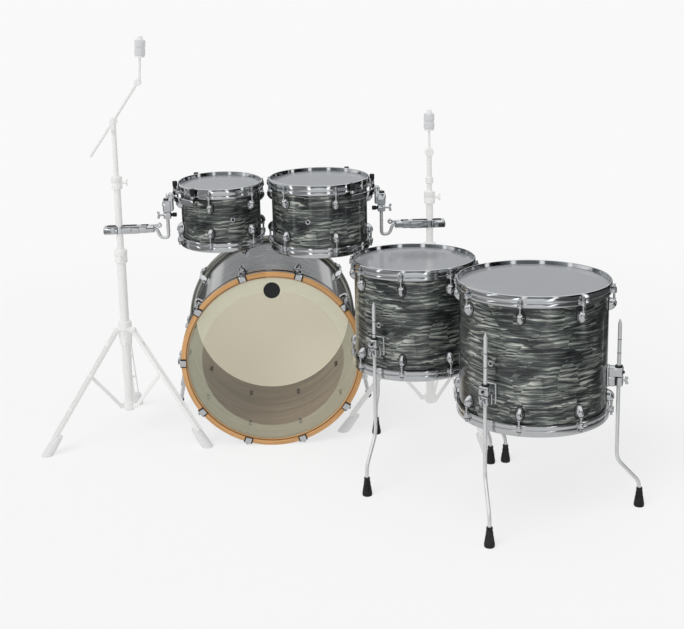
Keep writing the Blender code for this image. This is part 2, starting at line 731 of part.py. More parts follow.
def spur_brackets():
    """Blocks on the shell, and the boss of each that faces its spur's eye."""
    blocks = bmesh.new()
    bosses = bmesh.new()
    for side in (1, -1):
        pivot, fall, hinge = spur_line(side)
        angle = atan2(pivot.y, pivot.x)
        place = turn(angle)
        low = (BASS.radius - SUNK, -SPUR_BLOCK_HALF_WIDTH, pivot.z - SPUR_BLOCK_HALF_LENGTH)
        high = (BASS.radius + SPUR_BLOCK_REACH, SPUR_BLOCK_HALF_WIDTH, pivot.z + SPUR_BLOCK_HALF_LENGTH)
        box(low, high, place, blocks)
        inward = -hinge if hinge.dot(Vector((pivot.x, pivot.y, 0))) > 0 else hinge
        boss_frame = frame_along(pivot + inward * (SPUR_TUBE_RADIUS + GAP), inward, fall)
        turned([(SPUR_BOSS_RADIUS, 0.0), (SPUR_BOSS_RADIUS, SPUR_BOSS_LENGTH)], ROD_SIDES, shape=bosses,
               place=boss_frame)
    return blocks, bosses


def bass_drum():
    frame = empty("bass_frame", bass_frame())
    blocks, bosses = spur_brackets()
    node("bass_shell", shell(BASS), frame, WRAP, joins=[lugs(BASS), blocks, bosses])
    for label, end, wood, film in (("batter", 1, MAPLE, CLEAR_FILM), ("resonant", -1, DARK_HOOP, CREAM_FILM)):
        node(f"bass_{label}_hoop", wood_hoop(BASS, end), frame, wood,
             joins=[claws(BASS, end), claw_rods(BASS, end)])
        node(f"bass_{label}_head", head(BASS, end), frame, film)
    for label, side in (("left", -1), ("right", 1)):
        spur(side, label, frame)


def leg_bracket(drum, angle, height, blocks, screws, wings):
    """A clamp block on the shell, with the wing screw that grips the leg."""
    place = turn(angle) @ move(0, 0, height)
    outer = drum.radius + LEG_BRACKET_REACH
    low = (drum.radius - SUNK, -LEG_BRACKET_HALF_WIDTH, -LEG_BRACKET_HALF_HEIGHT)
    high = (outer, LEG_BRACKET_HALF_WIDTH, LEG_BRACKET_HALF_HEIGHT)
    box(low, high, place, blocks)
    outward = place @ frame_along((outer - BITE * 2, 0, -LEG_SCREW_DROP), (1, 0, 0), (0, 0, 1))
    turned([(LEG_SCREW_RADIUS, 0.0), (LEG_SCREW_RADIUS, LEG_SCREW_LENGTH)], SCREW_SIDES, shape=screws,
           place=outward)
    wing_low = LEG_SCREW_LENGTH - BITE * 2
    box((-LEG_WING_HALF_THICKNESS, -LEG_WING_HALF_SPAN, wing_low),
        (LEG_WING_HALF_THICKNESS, LEG_WING_HALF_SPAN, wing_low + LEG_WING_DEPTH), outward, wings)


def leg_path(bracket_height, spread):
    """A leg from its pointed top, down its straight run and out to its rubber foot."""
    bend = LEG_BEND - bracket_height
    foot_top = LEG_FOOT_TOP - bracket_height
    floor = -bracket_height
    top = LEG_TOP - bracket_height
    corners = [(0, 0, top - LEG_POINT_LENGTH), (0, 0, bend), (spread, 0, bend - spread),
               (spread, 0, foot_top)]
    return ([((0, 0, top), LEG_RADIUS * POINT_SHARE)]
            + [(point, LEG_RADIUS) for point in eased(corners, LEG_BEND_EASE)]
            + [((spread, 0, foot_top), LEG_FOOT_NECK), ((spread, 0, floor + LEG_FOOT_RIM), LEG_FOOT_RADIUS),
               ((spread, 0, floor), LEG_FOOT_RADIUS)])


def floor_tom(drum, at, low, legs):
    """A floor tom on three legs. Each leg has its bracket's angle and height, and the way and the
    distance that its foot stands away from its straight run."""
    middle = low + HOOP_RISE + drum.edge
    frame = empty(f"{drum.name}_frame", move(*at, middle))
    blocks, screws, wings, bores = bmesh.new(), bmesh.new(), bmesh.new(), bmesh.new()
    for angle, height, _, _ in legs:
        leg_bracket(drum, angle, height - middle, blocks, screws, wings)
        long = LEG_BRACKET_HALF_HEIGHT + PAST
        place = turn(angle) @ move(drum.radius + LEG_OUT, 0, height - middle)
        hole = bore_for(LEG_RADIUS, ROD_SIDES)
        turned([(hole, -long), (hole, long)], ROD_SIDES, first=pi / ROD_SIDES, shape=bores, place=place)
    node(f"{drum.name}_shell", shell(drum), frame, WRAP,
         joins=[lugs(drum), blocks, screws, wings], cuts=[bores])
    heads_and_cast_hoops(drum, frame)
    for count, (angle, height, twist, spread) in enumerate(legs, start=1):
        spot = turn(angle) @ move(drum.radius + LEG_OUT, 0, height - middle)
        leg_frame = empty(f"{drum.name}_leg_{count}_axis", spot, frame)
        path = leg_path(height, spread)
        node(f"{drum.name}_leg_{count}", rod(path, ROD_SIDES, place=turn(twist)), leg_frame, CHROME)


def holder_arc(drum):
    """The outline of the curved plate, from its outer face back along its inner face."""
    outer = drum.radius + HOLDER_ARC_OUT + HOLDER_ARC_PLATE
    inner = drum.radius + HOLDER_ARC_OUT
    half = HOLDER_ARC_HALF_ANGLE
    angles = [pi - half + 2 * half * k / ARC_SEGMENTS for k in range(ARC_SEGMENTS + 1)]
    outline = [(outer * cos(a), outer * sin(a)) for a in angles]
    outline += [(inner * cos(a), inner * sin(a)) for a in reversed(angles)]
    return outline


def tom_bracket(drum, frame):
    """The suspension bracket, in the tom's frame turned so that the stand lies along -X: a curved
    plate below the top hoop, a cast block for the holder's rod, and rubber pads on the hoop."""
    name = drum.name
    arc_top = drum.edge + HOLDER_ARC_TOP
    shape = prism(holder_arc(drum), arc_top - HOLDER_ARC_HEIGHT, arc_top)
    pads = bmesh.new()
    for angle in (pi - HOLDER_RUBBER_AT, pi, pi + HOLDER_RUBBER_AT):
        low = (drum.hoop_radius + GAP * 2, -PAD_HALF_WIDTH, drum.edge + PAD_LOW)
        high = (drum.radius + HOLDER_ARC_OUT + BITE * 2, PAD_HALF_WIDTH, drum.edge + PAD_HIGH)
        box(low, high, turn(angle), pads)
    rod_at = drum.hoop_radius + HOLDER_ROD_SHORT
    arc_back = drum.radius + HOLDER_ARC_OUT + BITE * 2
    high = drum.edge + HOLDER_BLOCK_HIGH
    low = drum.edge + HOLDER_BLOCK_LOW
    neck_top = arc_top - BITE * 2
    back = -rod_at - HOLDER_BLOCK_BACK
    front = -rod_at + HOLDER_BLOCK_FRONT
    outline = [(back, low), (-arc_back, low), (-arc_back, neck_top), (front, neck_top), (front, high),
               (back, high)]
    stand_up = Matrix.Rotation(pi / 2, 4, "X")
    block = prism(outline, -HOLDER_BLOCK_HALF_WIDTH, HOLDER_BLOCK_HALF_WIDTH, stand_up)
    hole = bore_for(HOLDER_ROD_RADIUS, ROD_SIDES)
    bore = turned([(hole, low - PAST), (hole, high + PAST)], ROD_SIDES, place=move(-rod_at, 0, 0))
    node(f"{name}_suspension_bracket", shape, frame, CHROME, joins=[pads, block], cuts=[bore])


def clamp_height(drum, over_bass):
    """The height of a rack tom's clamp. The tom's lower hoop clears the bass drum's hoops."""
    bass_top = 2 * BASS.hoop_radius * cos(BASS_RISE)
    return bass_top + over_bass + HOOP_RISE + drum.edge - HOLDER_BELOW_TOM_MIDDLE


def rack_tom(drum, at, stand, clamp_at, lean):
    """A rack tom on its holder. The clamp grips the stand, the bent rod leans in the clamp, and the
    tom slides on the rod."""
    away = Vector((at[0] - stand[0], at[1] - stand[1]))
    heading = atan2(away.y, away.x)
    clamp_frame = empty(f"{drum.name}_clamp_axis", move(*stand, clamp_at) @ turn(heading))
    tom_clamp(drum, clamp_frame)
    lean_frame = empty(f"{drum.name}_holder_axis", Matrix.Rotation(lean, 4, "X"), clamp_frame)
    short = away.length - drum.hoop_radius - HOLDER_ROD_SHORT
    block_low = HOLDER_BELOW_TOM_MIDDLE + drum.edge + HOLDER_BLOCK_LOW
    tom_holder(drum, lean_frame, short, block_low)
    slide_frame = empty(f"{drum.name}_slide_axis", move(short, 0, 0), lean_frame)
    tom_place = move(away.length - short, 0, HOLDER_BELOW_TOM_MIDDLE)
    bracket_frame = empty(f"{drum.name}_bracket_frame", tom_place, slide_frame)
    drum_frame = empty(f"{drum.name}_frame", tom_place @ turn(-heading), slide_frame)
    tom_bracket(drum, bracket_frame)
    node(f"{drum.name}_shell", shell(drum), drum_frame, WRAP, joins=[lugs(drum)])
    heads_and_cast_hoops(drum, drum_frame)


def tom_clamp(drum, frame):
    """The clamp: a long jaw round the stand's tube, bored along its length for the bent rod."""
    body = box((CLAMP_START, -CLAMP_HALF_WIDTH, -CLAMP_HALF_HEIGHT),
               (CLAMP_END, CLAMP_HALF_WIDTH, CLAMP_HALF_HEIGHT))
    tongue_low = HOLDER_ROD_RADIUS + BITE
    tongue = box((CLAMP_TONGUE_ROOT, -CLAMP_TONGUE_HALF_WIDTH, tongue_low),
                 (CLAMP_TONGUE, CLAMP_TONGUE_HALF_WIDTH, CLAMP_HALF_HEIGHT - BITE))
    tube_bore = bore_for(MID_TUBE_RADIUS, TUBE_SIDES)
    long = CLAMP_HALF_HEIGHT + PAST
    grip = turned([(tube_bore, -long), (tube_bore, long)], TUBE_SIDES)
    rod_bore = bore_for(HOLDER_ROD_RADIUS, ROD_SIDES)
    socket = turned([(rod_bore, 0.0), (rod_bore, CLAMP_SOCKET_DEPTH + PAST)], ROD_SIDES,
                    place=frame_along((CLAMP_END - CLAMP_SOCKET_DEPTH, 0, 0), (1, 0, 0), (0, 0, 1)))
    node(f"{drum.name}_clamp", body, frame, CHROME, joins=[tongue], cuts=[grip, socket])


def tom_holder(drum, frame, short, block_low):
    """The bent rod, with the stop collar that the tom's bracket rests on."""
    neck = CLAMP_END + HOLDER_NECK
    corners = [(CLAMP_END - HOLDER_ROD_IN_SOCKET, 0, 0), (neck, 0, 0),
               (neck + HOLDER_NECK_RUN, 0, -HOLDER_DIP), (short, 0, -HOLDER_DIP),
               (short, 0, HOLDER_TIP - HOLDER_POINT_LENGTH)]
    path = [(point, HOLDER_ROD_RADIUS) for point in eased(corners, HOLDER_BEND_EASE)]
    path.append(((short, 0, HOLDER_TIP), HOLDER_ROD_RADIUS * POINT_SHARE))
    half = STOP_COLLAR_HALF_WIDTH
    collar_high = block_low - GAP
    collar_low = collar_high - STOP_COLLAR_HEIGHT
    collar = box((short - half, -half, collar_low), (short + half, half, collar_high))
    middle = (collar_high + collar_low) / 2
    screw = turned([(SCREW_RADIUS, 0.0), (SCREW_RADIUS, STOP_SCREW_LENGTH)], SCREW_SIDES,
                   place=frame_along((short - STOP_SCREW_BACK, 0, middle), (1, 0, 0), (0, 0, 1)))
    wing_at = short - STOP_WING_BACK
    wing = box((wing_at, -STOP_WING_HALF_WIDTH, middle - STOP_WING_HALF_SPAN),
               (wing_at + STOP_WING_DEPTH, STOP_WING_HALF_WIDTH, middle + STOP_WING_HALF_SPAN))
    knob = turned([(STOP_KNOB_RADIUS, 0.0), (STOP_KNOB_RADIUS, STOP_KNOB_LENGTH)], ROD_SIDES,
                  place=frame_along((short + STOP_KNOB_OUT, 0, middle), (1, 0, 0), (0, 0, 1)))
    node(f"{drum.name}_holder_rod", rod(path, ROD_SIDES), frame, CHROME, joins=[collar, screw, wing, knob])


def stand_leg_angles():
    drop = COLLAR_HEIGHT - STAND_FOOT_HEIGHT * STAND_FOOT_AIM
    reach = STAND_FOOT_OUT - COLLAR_PIVOT_OUT
    return atan2(reach, drop), hypot(reach, drop)


def leg_bearings(first_leg):
    return [first_leg + 2 * pi * k / STAND_LEGS for k in range(STAND_LEGS)]


def stand_base(label, at, first_leg, clamp_at):
    """The tripod: a base tube with its hub, a leg collar that slides on it, and folding legs
    that thin braces tie to the hub. The base tube's cast joint ends below the tom's clamp."""
    root = empty(f"{label}_stand_frame", move(*at, 0))
    bore = bore_for(MID_TUBE_RADIUS, TUBE_SIDES)
    inside = bore + BITE
    half_side = pi / TUBE_SIDES
    joint_high = clamp_at - CLAMP_HALF_HEIGHT - BASE_JOINT_BELOW_CLAMP
    joint_low = joint_high - BASE_JOINT_HEIGHT
    tube = turned([(bore, BASE_TUBE_LOW), (BASE_TUBE_RADIUS, BASE_TUBE_LOW), (BASE_TUBE_RADIUS, joint_low),
                   (BASE_JOINT_RADIUS, joint_low), (BASE_JOINT_RADIUS, joint_high), (bore, joint_high)],
                  TUBE_SIDES, hollow=True)
    hub_low = HUB_HEIGHT - HUB_HALF_HEIGHT
    hub_high = HUB_HEIGHT + HUB_HALF_HEIGHT
    hub = turned([(inside, hub_low), (HUB_RADIUS, hub_low), (HUB_RADIUS, hub_high), (inside, hub_high)],
                 TUBE_SIDES, first=half_side, hollow=True)
    stop_high = COLLAR_HEIGHT - COLLAR_HALF_HEIGHT - GAP
    stop_low = stop_high - STOP_RING_HEIGHT
    stop = turned([(inside, stop_low), (STOP_RING_RADIUS, stop_low), (STOP_RING_RADIUS, stop_high),
                   (inside, stop_high)], TUBE_SIDES, first=half_side, hollow=True)
    ears = bmesh.new()
    for angle in leg_bearings(first_leg):
        low = (BASE_TUBE_RADIUS + BITE, -BRACE_PLATE - BITE, HUB_HEIGHT - HUB_EAR_HALF_HEIGHT)
        high = (HUB_PIVOT_OUT + HUB_EAR_PAST_PIVOT, -BITE, HUB_HEIGHT + HUB_EAR_HALF_HEIGHT)
        box(low, high, turn(angle), ears)
    screws, wings = bmesh.new(), bmesh.new()
    screw_side = turn(first_leg + pi / STAND_LEGS)
    for height in (joint_low + BASE_JOINT_HEIGHT / 2, (stop_low + stop_high) / 2):
        place = screw_side @ frame_along((BASE_TUBE_RADIUS, 0, height), (1, 0, 0), (0, 0, 1))
        turned([(SCREW_RADIUS, 0.0), (SCREW_RADIUS, WING_SCREW_LENGTH)], SCREW_SIDES, shape=screws,
               place=place)
        wing_low = WING_SCREW_LENGTH - BITE * 2
        box((-WING_HALF_SPAN, -WING_HALF_THICKNESS, wing_low),
            (WING_HALF_SPAN, WING_HALF_THICKNESS, wing_low + WING_DEPTH), place, wings)
    node(f"{label}_stand_base_tube", tube, root, SATIN, joins=[hub, stop, ears, screws, wings])
    leg_collar(label, root, first_leg)
    for count, angle in enumerate(leg_bearings(first_leg), start=1):
        stand_leg(label, count, angle, root)
    return root


def leg_collar(label, root, first_leg):
    """The sliding collar with an ear for each leg, and a screw with a bar across it."""
    frame = empty(f"{label}_collar_axis", move(0, 0, COLLAR_HEIGHT), root)
    bore = bore_for(BASE_TUBE_RADIUS, TUBE_SIDES)
    half = COLLAR_HALF_HEIGHT
    ring = turned([(bore, -half), (COLLAR_RADIUS, -half), (COLLAR_RADIUS, half), (bore, half)], TUBE_SIDES,
                  hollow=True)
    ears = bmesh.new()
    for angle in leg_bearings(first_leg):
        low = (COLLAR_RADIUS - SUNK, -RAIL_INSIDE + BITE, -COLLAR_EAR_HALF_HEIGHT)
        high = (COLLAR_PIVOT_OUT + COLLAR_EAR_PAST_PIVOT, RAIL_INSIDE - BITE, COLLAR_EAR_HALF_HEIGHT)
        box(low, high, turn(angle), ears)
    screw_at = frame_along((COLLAR_RADIUS - SUNK, 0, COLLAR_SCREW_UP), (1, 0, 0), (0, 0, 1))
    place = turn(first_leg + pi / STAND_LEGS) @ screw_at
    screw = turned([(SCREW_RADIUS, 0.0), (SCREW_RADIUS, COLLAR_SCREW_LENGTH)], SCREW_SIDES, place=place)
    across = frame_along((0, 0, COLLAR_SCREW_LENGTH - BITE), (0, 1, 0), (1, 0, 0))
    handle = turned([(COLLAR_HANDLE_RADIUS, -COLLAR_HANDLE_HALF_LENGTH),
                     (COLLAR_HANDLE_RADIUS, COLLAR_HANDLE_HALF_LENGTH)], SCREW_SIDES, place=place @ across)
    node(f"{label}_stand_leg_collar", ring, frame, SATIN, joins=[ears, screw, handle])


def stand_leg(label, count, angle, root):
    """One leg of two rails with a rubber foot, and the brace that runs between its rails."""
    slope, length = stand_leg_angles()
    outward = turn(angle)
    pivot = outward @ move(COLLAR_PIVOT_OUT, 0, COLLAR_HEIGHT)
    swing = Matrix.Rotation(-slope, 4, "Y")
    leg_frame = empty(f"{label}_leg_{count}_pivot", pivot @ swing, root)
    rails = bmesh.new()
    foot_at = length - STAND_FOOT_HEIGHT
    for side in (1, -1):
        near, far = sorted((side * RAIL_INSIDE, side * (RAIL_INSIDE + RAIL_PLATE)))
        low = (-RAIL_HALF_WIDTH, near, -foot_at - RAIL_IN_FOOT)
        high = (RAIL_HALF_WIDTH, far, RAIL_HALF_WIDTH)
        box(low, high, shape=rails)
    spacer = box((-RAIL_HALF_WIDTH + BITE, -RAIL_INSIDE - BITE, -SPACER_ALONG_LEG - SPACER_LENGTH),
                 (RAIL_HALF_WIDTH - BITE, RAIL_INSIDE + BITE, -SPACER_ALONG_LEG))
    level = Matrix.Rotation(slope, 4, "Y")
    lean = Matrix.Identity(4)
    lean[0][2] = -tan(slope)
    foot_place = level @ move(STAND_FOOT_OUT - COLLAR_PIVOT_OUT, 0, -COLLAR_HEIGHT) @ lean
    foot = turned([(STAND_FOOT_RADIUS, 0.0), (STAND_FOOT_RADIUS, STAND_FOOT_BAND),
                   (STAND_FOOT_RADIUS * STAND_FOOT_TAPER, STAND_FOOT_HEIGHT)], PIN_SIDES,
                  first=pi / PIN_SIDES, place=foot_place)
    node(f"{label}_stand_leg_{count}", spacer, leg_frame, SATIN, joins=[rails, foot])
    joint_out = COLLAR_PIVOT_OUT + BRACE_ALONG_LEG * sin(slope)
    joint_height = COLLAR_HEIGHT - BRACE_ALONG_LEG * cos(slope)
    rise = joint_height - HUB_HEIGHT
    reach = joint_out - HUB_PIVOT_OUT
    brace_pivot = outward @ move(HUB_PIVOT_OUT, 0, HUB_HEIGHT)
    brace_slope = Matrix.Rotation(atan2(reach, rise), 4, "Y")
    brace_frame = empty(f"{label}_brace_{count}_pivot", brace_pivot @ brace_slope, root)
    half = BRACE_HALF_WIDTH
    corner = half / 2
    long = hypot(rise, reach)
    outline = [(-half, 0.0), (-corner, -half), (corner, -half), (half, 0.0), (half, long),
               (corner, long + half), (-corner, long + half), (-half, long)]
    stand_up = Matrix.Rotation(pi / 2, 4, "X")
    bar = prism(outline, BITE - GAP - BRACE_PLATE, BITE - GAP, stand_up)
    node(f"{label}_stand_brace_{count}", bar, brace_frame, SATIN)


def two_tubes(joint_low, top, top_steps=()):
    """The outline of an upper tube: the wide tube, the cast joint and the thin tube above it."""
    joint_high = joint_low + UPPER_JOINT_HEIGHT
    return [(MID_TUBE_RADIUS, COLLAR_HEIGHT + MID_TUBE_ABOVE_COLLAR), (MID_TUBE_RADIUS, joint_low),
            (UPPER_JOINT_RADIUS, joint_low), (UPPER_JOINT_RADIUS, joint_high), (TOP_TUBE_RADIUS, joint_high),
            *top_steps, (TOP_TUBE_RADIUS, top)]


def joint_screw(joint_low):
    """The wing screw that stands out of an upper tube's joint."""
    place = frame_along((UPPER_SCREW_OUT, 0, joint_low + UPPER_JOINT_HEIGHT / 2), (1, 0, 0), (0, 0, 1))
    wing_end = UPPER_SCREW_LENGTH + UPPER_WING_DEPTH
    return turned([(SCREW_RADIUS, 0.0), (SCREW_RADIUS, UPPER_SCREW_LENGTH),
                   (UPPER_WING_RADIUS, UPPER_SCREW_LENGTH), (UPPER_WING_RADIUS, wing_end)], SCREW_SIDES,
                  place=place)


def cymbal_rod(felt_at, place):
    """A thin rod with a washer, a felt stack and a nut on it."""
    seat = felt_at - FELT_SEAT
    washer = seat - FELT_BASE_HEIGHT
    felt_top = felt_at + FELT_HEIGHT
    profile = [(CYMBAL_ROD_RADIUS, -CYMBAL_ROD_BELOW), (CYMBAL_ROD_RADIUS, washer),
               (FELT_BASE_RADIUS, washer), (FELT_BASE_RADIUS, seat),
               (FELT_RADIUS, seat), (FELT_RADIUS, felt_top - FELT_SHOULDER),
               (NUT_RADIUS, felt_top), (NUT_RADIUS, felt_top + NUT_HEIGHT)]
    return turned(profile, TUBE_SIDES, place=place)


def across_pin(x, z, radius, half_width, sides):
    """A round that lies along Y."""
    return turned([(radius, -half_width), (radius, half_width)], sides,
                  place=frame_along((x, 0, z), (0, 1, 0), (0, 0, 1)))


def boom_fork(pivot_height):
    """The fork that holds the boom arm's knuckle, outlined across the tube."""
    inside = BOOM_KNUCKLE_HALF_WIDTH + GAP
    outside = inside + FORK_CHEEK
    low = pivot_height - FORK_TUBE_BELOW_PIVOT - FORK_BELOW_TUBE_TOP
    web = pivot_height - FORK_WEB_BELOW_PIVOT
    high = pivot_height + FORK_ABOVE_PIVOT
    outline = [(-outside, low), (outside, low), (outside, high), (inside, high), (inside, web),
               (-inside, web), (-inside, high), (-outside, high)]
    side_on = Matrix.Rotation(pi / 2, 4, "Z") @ Matrix.Rotation(pi / 2, 4, "X")
    return prism(outline, -FORK_HALF_DEPTH, FORK_HALF_DEPTH, side_on)


def left_upper(root, clamp_at):
    """The left stand's upper tube with the fork of its boom clamp, and the boom arm with its felt."""
    frame = empty("left_mid_tube_axis", move(0, 0, 0), root)
    joint_low = clamp_at + LEFT_JOINT_ABOVE_CLAMP
    pivot_height = joint_low + UPPER_JOINT_HEIGHT + LEFT_TOP_TUBE
    tube = turned(two_tubes(joint_low, pivot_height - FORK_TUBE_BELOW_PIVOT), TUBE_SIDES)
    node("left_stand_upper_tube", tube, frame, SATIN, joins=[boom_fork(pivot_height), joint_screw(joint_low)])
    pivot = empty("left_boom_pivot", move(0, 0, pivot_height), frame)
    corners = [(x, 0, z) for x, z in (BOOM_BUTT, BOOM_LOWER_BEND, BOOM_UPPER_BEND, BOOM_TILTER)]
    arm = rod([(corner, BOOM_RADIUS) for corner in corners], ROD_SIDES)
    knuckle = across_pin(0, 0, BOOM_KNUCKLE_RADIUS, BOOM_KNUCKLE_HALF_WIDTH, TUBE_SIDES)
    tilter_x, tilter_z = BOOM_TILTER
    tilter = across_pin(tilter_x, tilter_z, BOOM_TILTER_RADIUS, BOOM_TILTER_HALF_WIDTH, PIN_SIDES)
    place = move(tilter_x + LEFT_ROD_OUT, 0, tilter_z) @ Matrix.Rotation(BOOM_ROD_LEAN, 4, "Y")
    top_rod = cymbal_rod(LEFT_FELT_ABOVE_TILTER, place)
    node("left_stand_boom_arm", arm, pivot, SATIN, joins=[knuckle, tilter, top_rod])


def right_upper(root, clamp_at):
    """The right stand's upper tube with its knuckle, tilter and straight cymbal rod."""
    frame = empty("right_mid_tube_axis", move(0, 0, 0), root)
    joint_low = clamp_at + RIGHT_JOINT_ABOVE_CLAMP
    knuckle_low = joint_low + UPPER_JOINT_HEIGHT + RIGHT_KNUCKLE_ABOVE_JOINT
    knuckle_high = knuckle_low + RIGHT_KNUCKLE_HEIGHT
    knuckle = [(TOP_TUBE_RADIUS, knuckle_low), (RIGHT_KNUCKLE_RADIUS, knuckle_low),
               (RIGHT_KNUCKLE_RADIUS, knuckle_high), (TOP_TUBE_RADIUS, knuckle_high)]
    rod_foot = joint_low + UPPER_JOINT_HEIGHT + RIGHT_TOP_TUBE
    tilter_height = rod_foot - RIGHT_TILTER_BELOW_ROD
    tube = turned(two_tubes(joint_low, tilter_height - RIGHT_TILTER_RADIUS / 2, knuckle), TUBE_SIDES)
    tilter = across_pin(0, tilter_height, RIGHT_TILTER_RADIUS, RIGHT_TILTER_HALF_WIDTH, TUBE_SIDES)
    top_rod = cymbal_rod(RIGHT_FELT_ABOVE_TILTER, move(0, 0, rod_foot))
    node("right_stand_upper_tube", tube, frame, SATIN, joins=[tilter, joint_screw(joint_low), top_rod])


def drum_kit():
    clear_scene()
    small_floor, large_floor, large_tom, small_tom, left_stand, right_stand = layout()
    bass_drum()
    floor_tom(SMALL_FLOOR, small_floor, SMALL_FLOOR_HEIGHT, SMALL_FLOOR_LEGS)
    floor_tom(LARGE_FLOOR, large_floor, LARGE_FLOOR_HEIGHT, LARGE_FLOOR_LEGS)
    left_clamp = clamp_height(SMALL_TOM, SMALL_TOM_OVER_BASS)
    rack_tom(SMALL_TOM, small_tom, left_stand, left_clamp, SMALL_TOM_LEAN)
    left_upper(stand_base("left", left_stand, LEFT_FIRST_LEG, left_clamp), left_clamp)
    right_clamp = clamp_height(LARGE_TOM, LARGE_TOM_OVER_BASS)
    rack_tom(LARGE_TOM, large_tom, right_stand, right_clamp, LARGE_TOM_LEAN)
    right_upper(stand_base("right", right_stand, RIGHT_FIRST_LEG, right_clamp), right_clamp)


drum_kit()
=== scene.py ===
"""A five-piece drum kit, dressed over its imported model: charcoal pearl shells, chrome fittings,
a maple bass hoop and two pale stands. Metres, +Z up, the drummer's side faces -Y."""

import json
from math import atan2, cos, hypot, pi, radians, sin, tan

import bpy
from mathutils import Matrix, Vector


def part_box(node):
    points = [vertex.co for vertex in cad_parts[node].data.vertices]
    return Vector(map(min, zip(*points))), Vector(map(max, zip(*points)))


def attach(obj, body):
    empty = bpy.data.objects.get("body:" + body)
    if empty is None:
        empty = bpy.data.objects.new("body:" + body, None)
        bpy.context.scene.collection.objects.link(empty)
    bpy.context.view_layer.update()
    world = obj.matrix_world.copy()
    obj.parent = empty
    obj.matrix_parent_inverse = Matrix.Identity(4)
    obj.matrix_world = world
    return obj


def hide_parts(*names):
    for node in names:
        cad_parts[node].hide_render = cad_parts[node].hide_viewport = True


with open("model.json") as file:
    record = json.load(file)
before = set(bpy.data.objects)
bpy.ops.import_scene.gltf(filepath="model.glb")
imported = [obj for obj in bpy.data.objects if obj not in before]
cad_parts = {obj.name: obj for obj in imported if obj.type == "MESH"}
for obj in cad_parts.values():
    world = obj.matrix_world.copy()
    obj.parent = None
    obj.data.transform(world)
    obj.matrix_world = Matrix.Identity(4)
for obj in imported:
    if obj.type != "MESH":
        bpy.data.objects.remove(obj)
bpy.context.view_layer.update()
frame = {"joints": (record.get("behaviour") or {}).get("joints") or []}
bpy.ops.object.select_all(action="DESELECT")
ROOT = "standing_kit"

# The studio: a white floor that keeps soft shadows, a broad key light and a weaker one from above.
# What gloss mirrors is made apart from what the camera sees: a room with dark sides, a bright ceiling
# and tall lamps round its near side, which give the chrome its dark and light lines.


def linear(hex_colour):
    """A colour written as sRGB hex, made linear."""
    parts = [int(hex_colour[k:k + 2], 16) / 255 for k in (1, 3, 5)]
    return tuple(p / 12.92 if p <= 0.04045 else ((p + 0.055) / 1.055) ** 2.4 for p in parts) + (1.0,)


def add(tree, kind, inputs=None, stops=(), **settings):
    """Adds a node. An input given a socket is linked to it, and one given a value is set. Stops are a
    colour ramp's positions and sRGB hex colours."""
    made = tree.nodes.new(kind)
    for name, value in settings.items():
        setattr(made, name, value)
    for name, value in (inputs or {}).items():
        if isinstance(value, bpy.types.NodeSocket):
            tree.links.new(value, made.inputs[name])
        else:
            made.inputs[name].default_value = value
    if stops:
        band = made.color_ramp
        while len(band.elements) < len(stops):
            band.elements.new(0.5)
        for element, (position, hex_colour) in zip(band.elements, stops):
            element.position = position
            element.color = linear(hex_colour)
    return made


def new_material(name):
    """An empty node material and its output."""
    made = bpy.data.materials.new(name)
    made.use_nodes = True
    made.node_tree.nodes.clear()
    return made, made.node_tree, add(made.node_tree, "ShaderNodeOutputMaterial")


def fades(tree, place, rows):
    """Shares that change across a place. A row is a name, an axis, where the change starts and stops,
    and the share at each."""
    parts = add(tree, "ShaderNodeSeparateXYZ", {"Vector": place})
    made = {}
    for name, axis, start, stop, first, last in rows:
        fade = add(tree, "ShaderNodeMapRange", {"Value": parts.outputs[axis], "From Min": start,
                                                "From Max": stop, "To Min": first, "To Max": last})
        made[name] = fade.outputs["Result"]
    return made


def light_strips(tree, place, narrow, wide):
    """Narrow and wide are the wave's heights at a lamp's bright middle and at its edge."""
    parts = add(tree, "ShaderNodeSeparateXYZ", {"Vector": place})
    ahead = add(tree, "ShaderNodeMath", {0: parts.outputs["Y"], 1: -1.0}, operation="MULTIPLY").outputs[0]
    bearing = add(tree, "ShaderNodeMath", {0: parts.outputs["X"], 1: ahead}, operation="ARCTAN2")
    turns = add(tree, "ShaderNodeMath", {0: bearing.outputs[0], 1: LAMP_COUNT}, operation="MULTIPLY")
    wave = add(tree, "ShaderNodeMath", {0: turns.outputs[0]}, operation="COSINE").outputs[0]
    return add(tree, "ShaderNodeMapRange", {"Value": wave, "From Min": narrow, "From Max": wide,
                                            "To Min": 1.0, "To Max": 0.0}).outputs["Result"]


def ray_kinds(tree):
    """The shares of rays that come straight from the camera or through a film, and of mirrored ones."""
    path = add(tree, "ShaderNodeLightPath")
    straight = add(tree, "ShaderNodeMath", {0: path.outputs["Is Camera Ray"],
                                            1: path.outputs["Is Transmission Ray"]}, operation="MAXIMUM")
    return straight.outputs[0], path.outputs["Is Glossy Ray"]


BACKGROUND = linear("#f9f9f9")
FLOOR_SIZE = 60.0
FLOOR_NEAR = 2.2
FLOOR_FAR = 3.6
FLOOR_GLOW = 0.76
ROOM_LIGHT = 0.34
LAMP_COUNT = 8.0

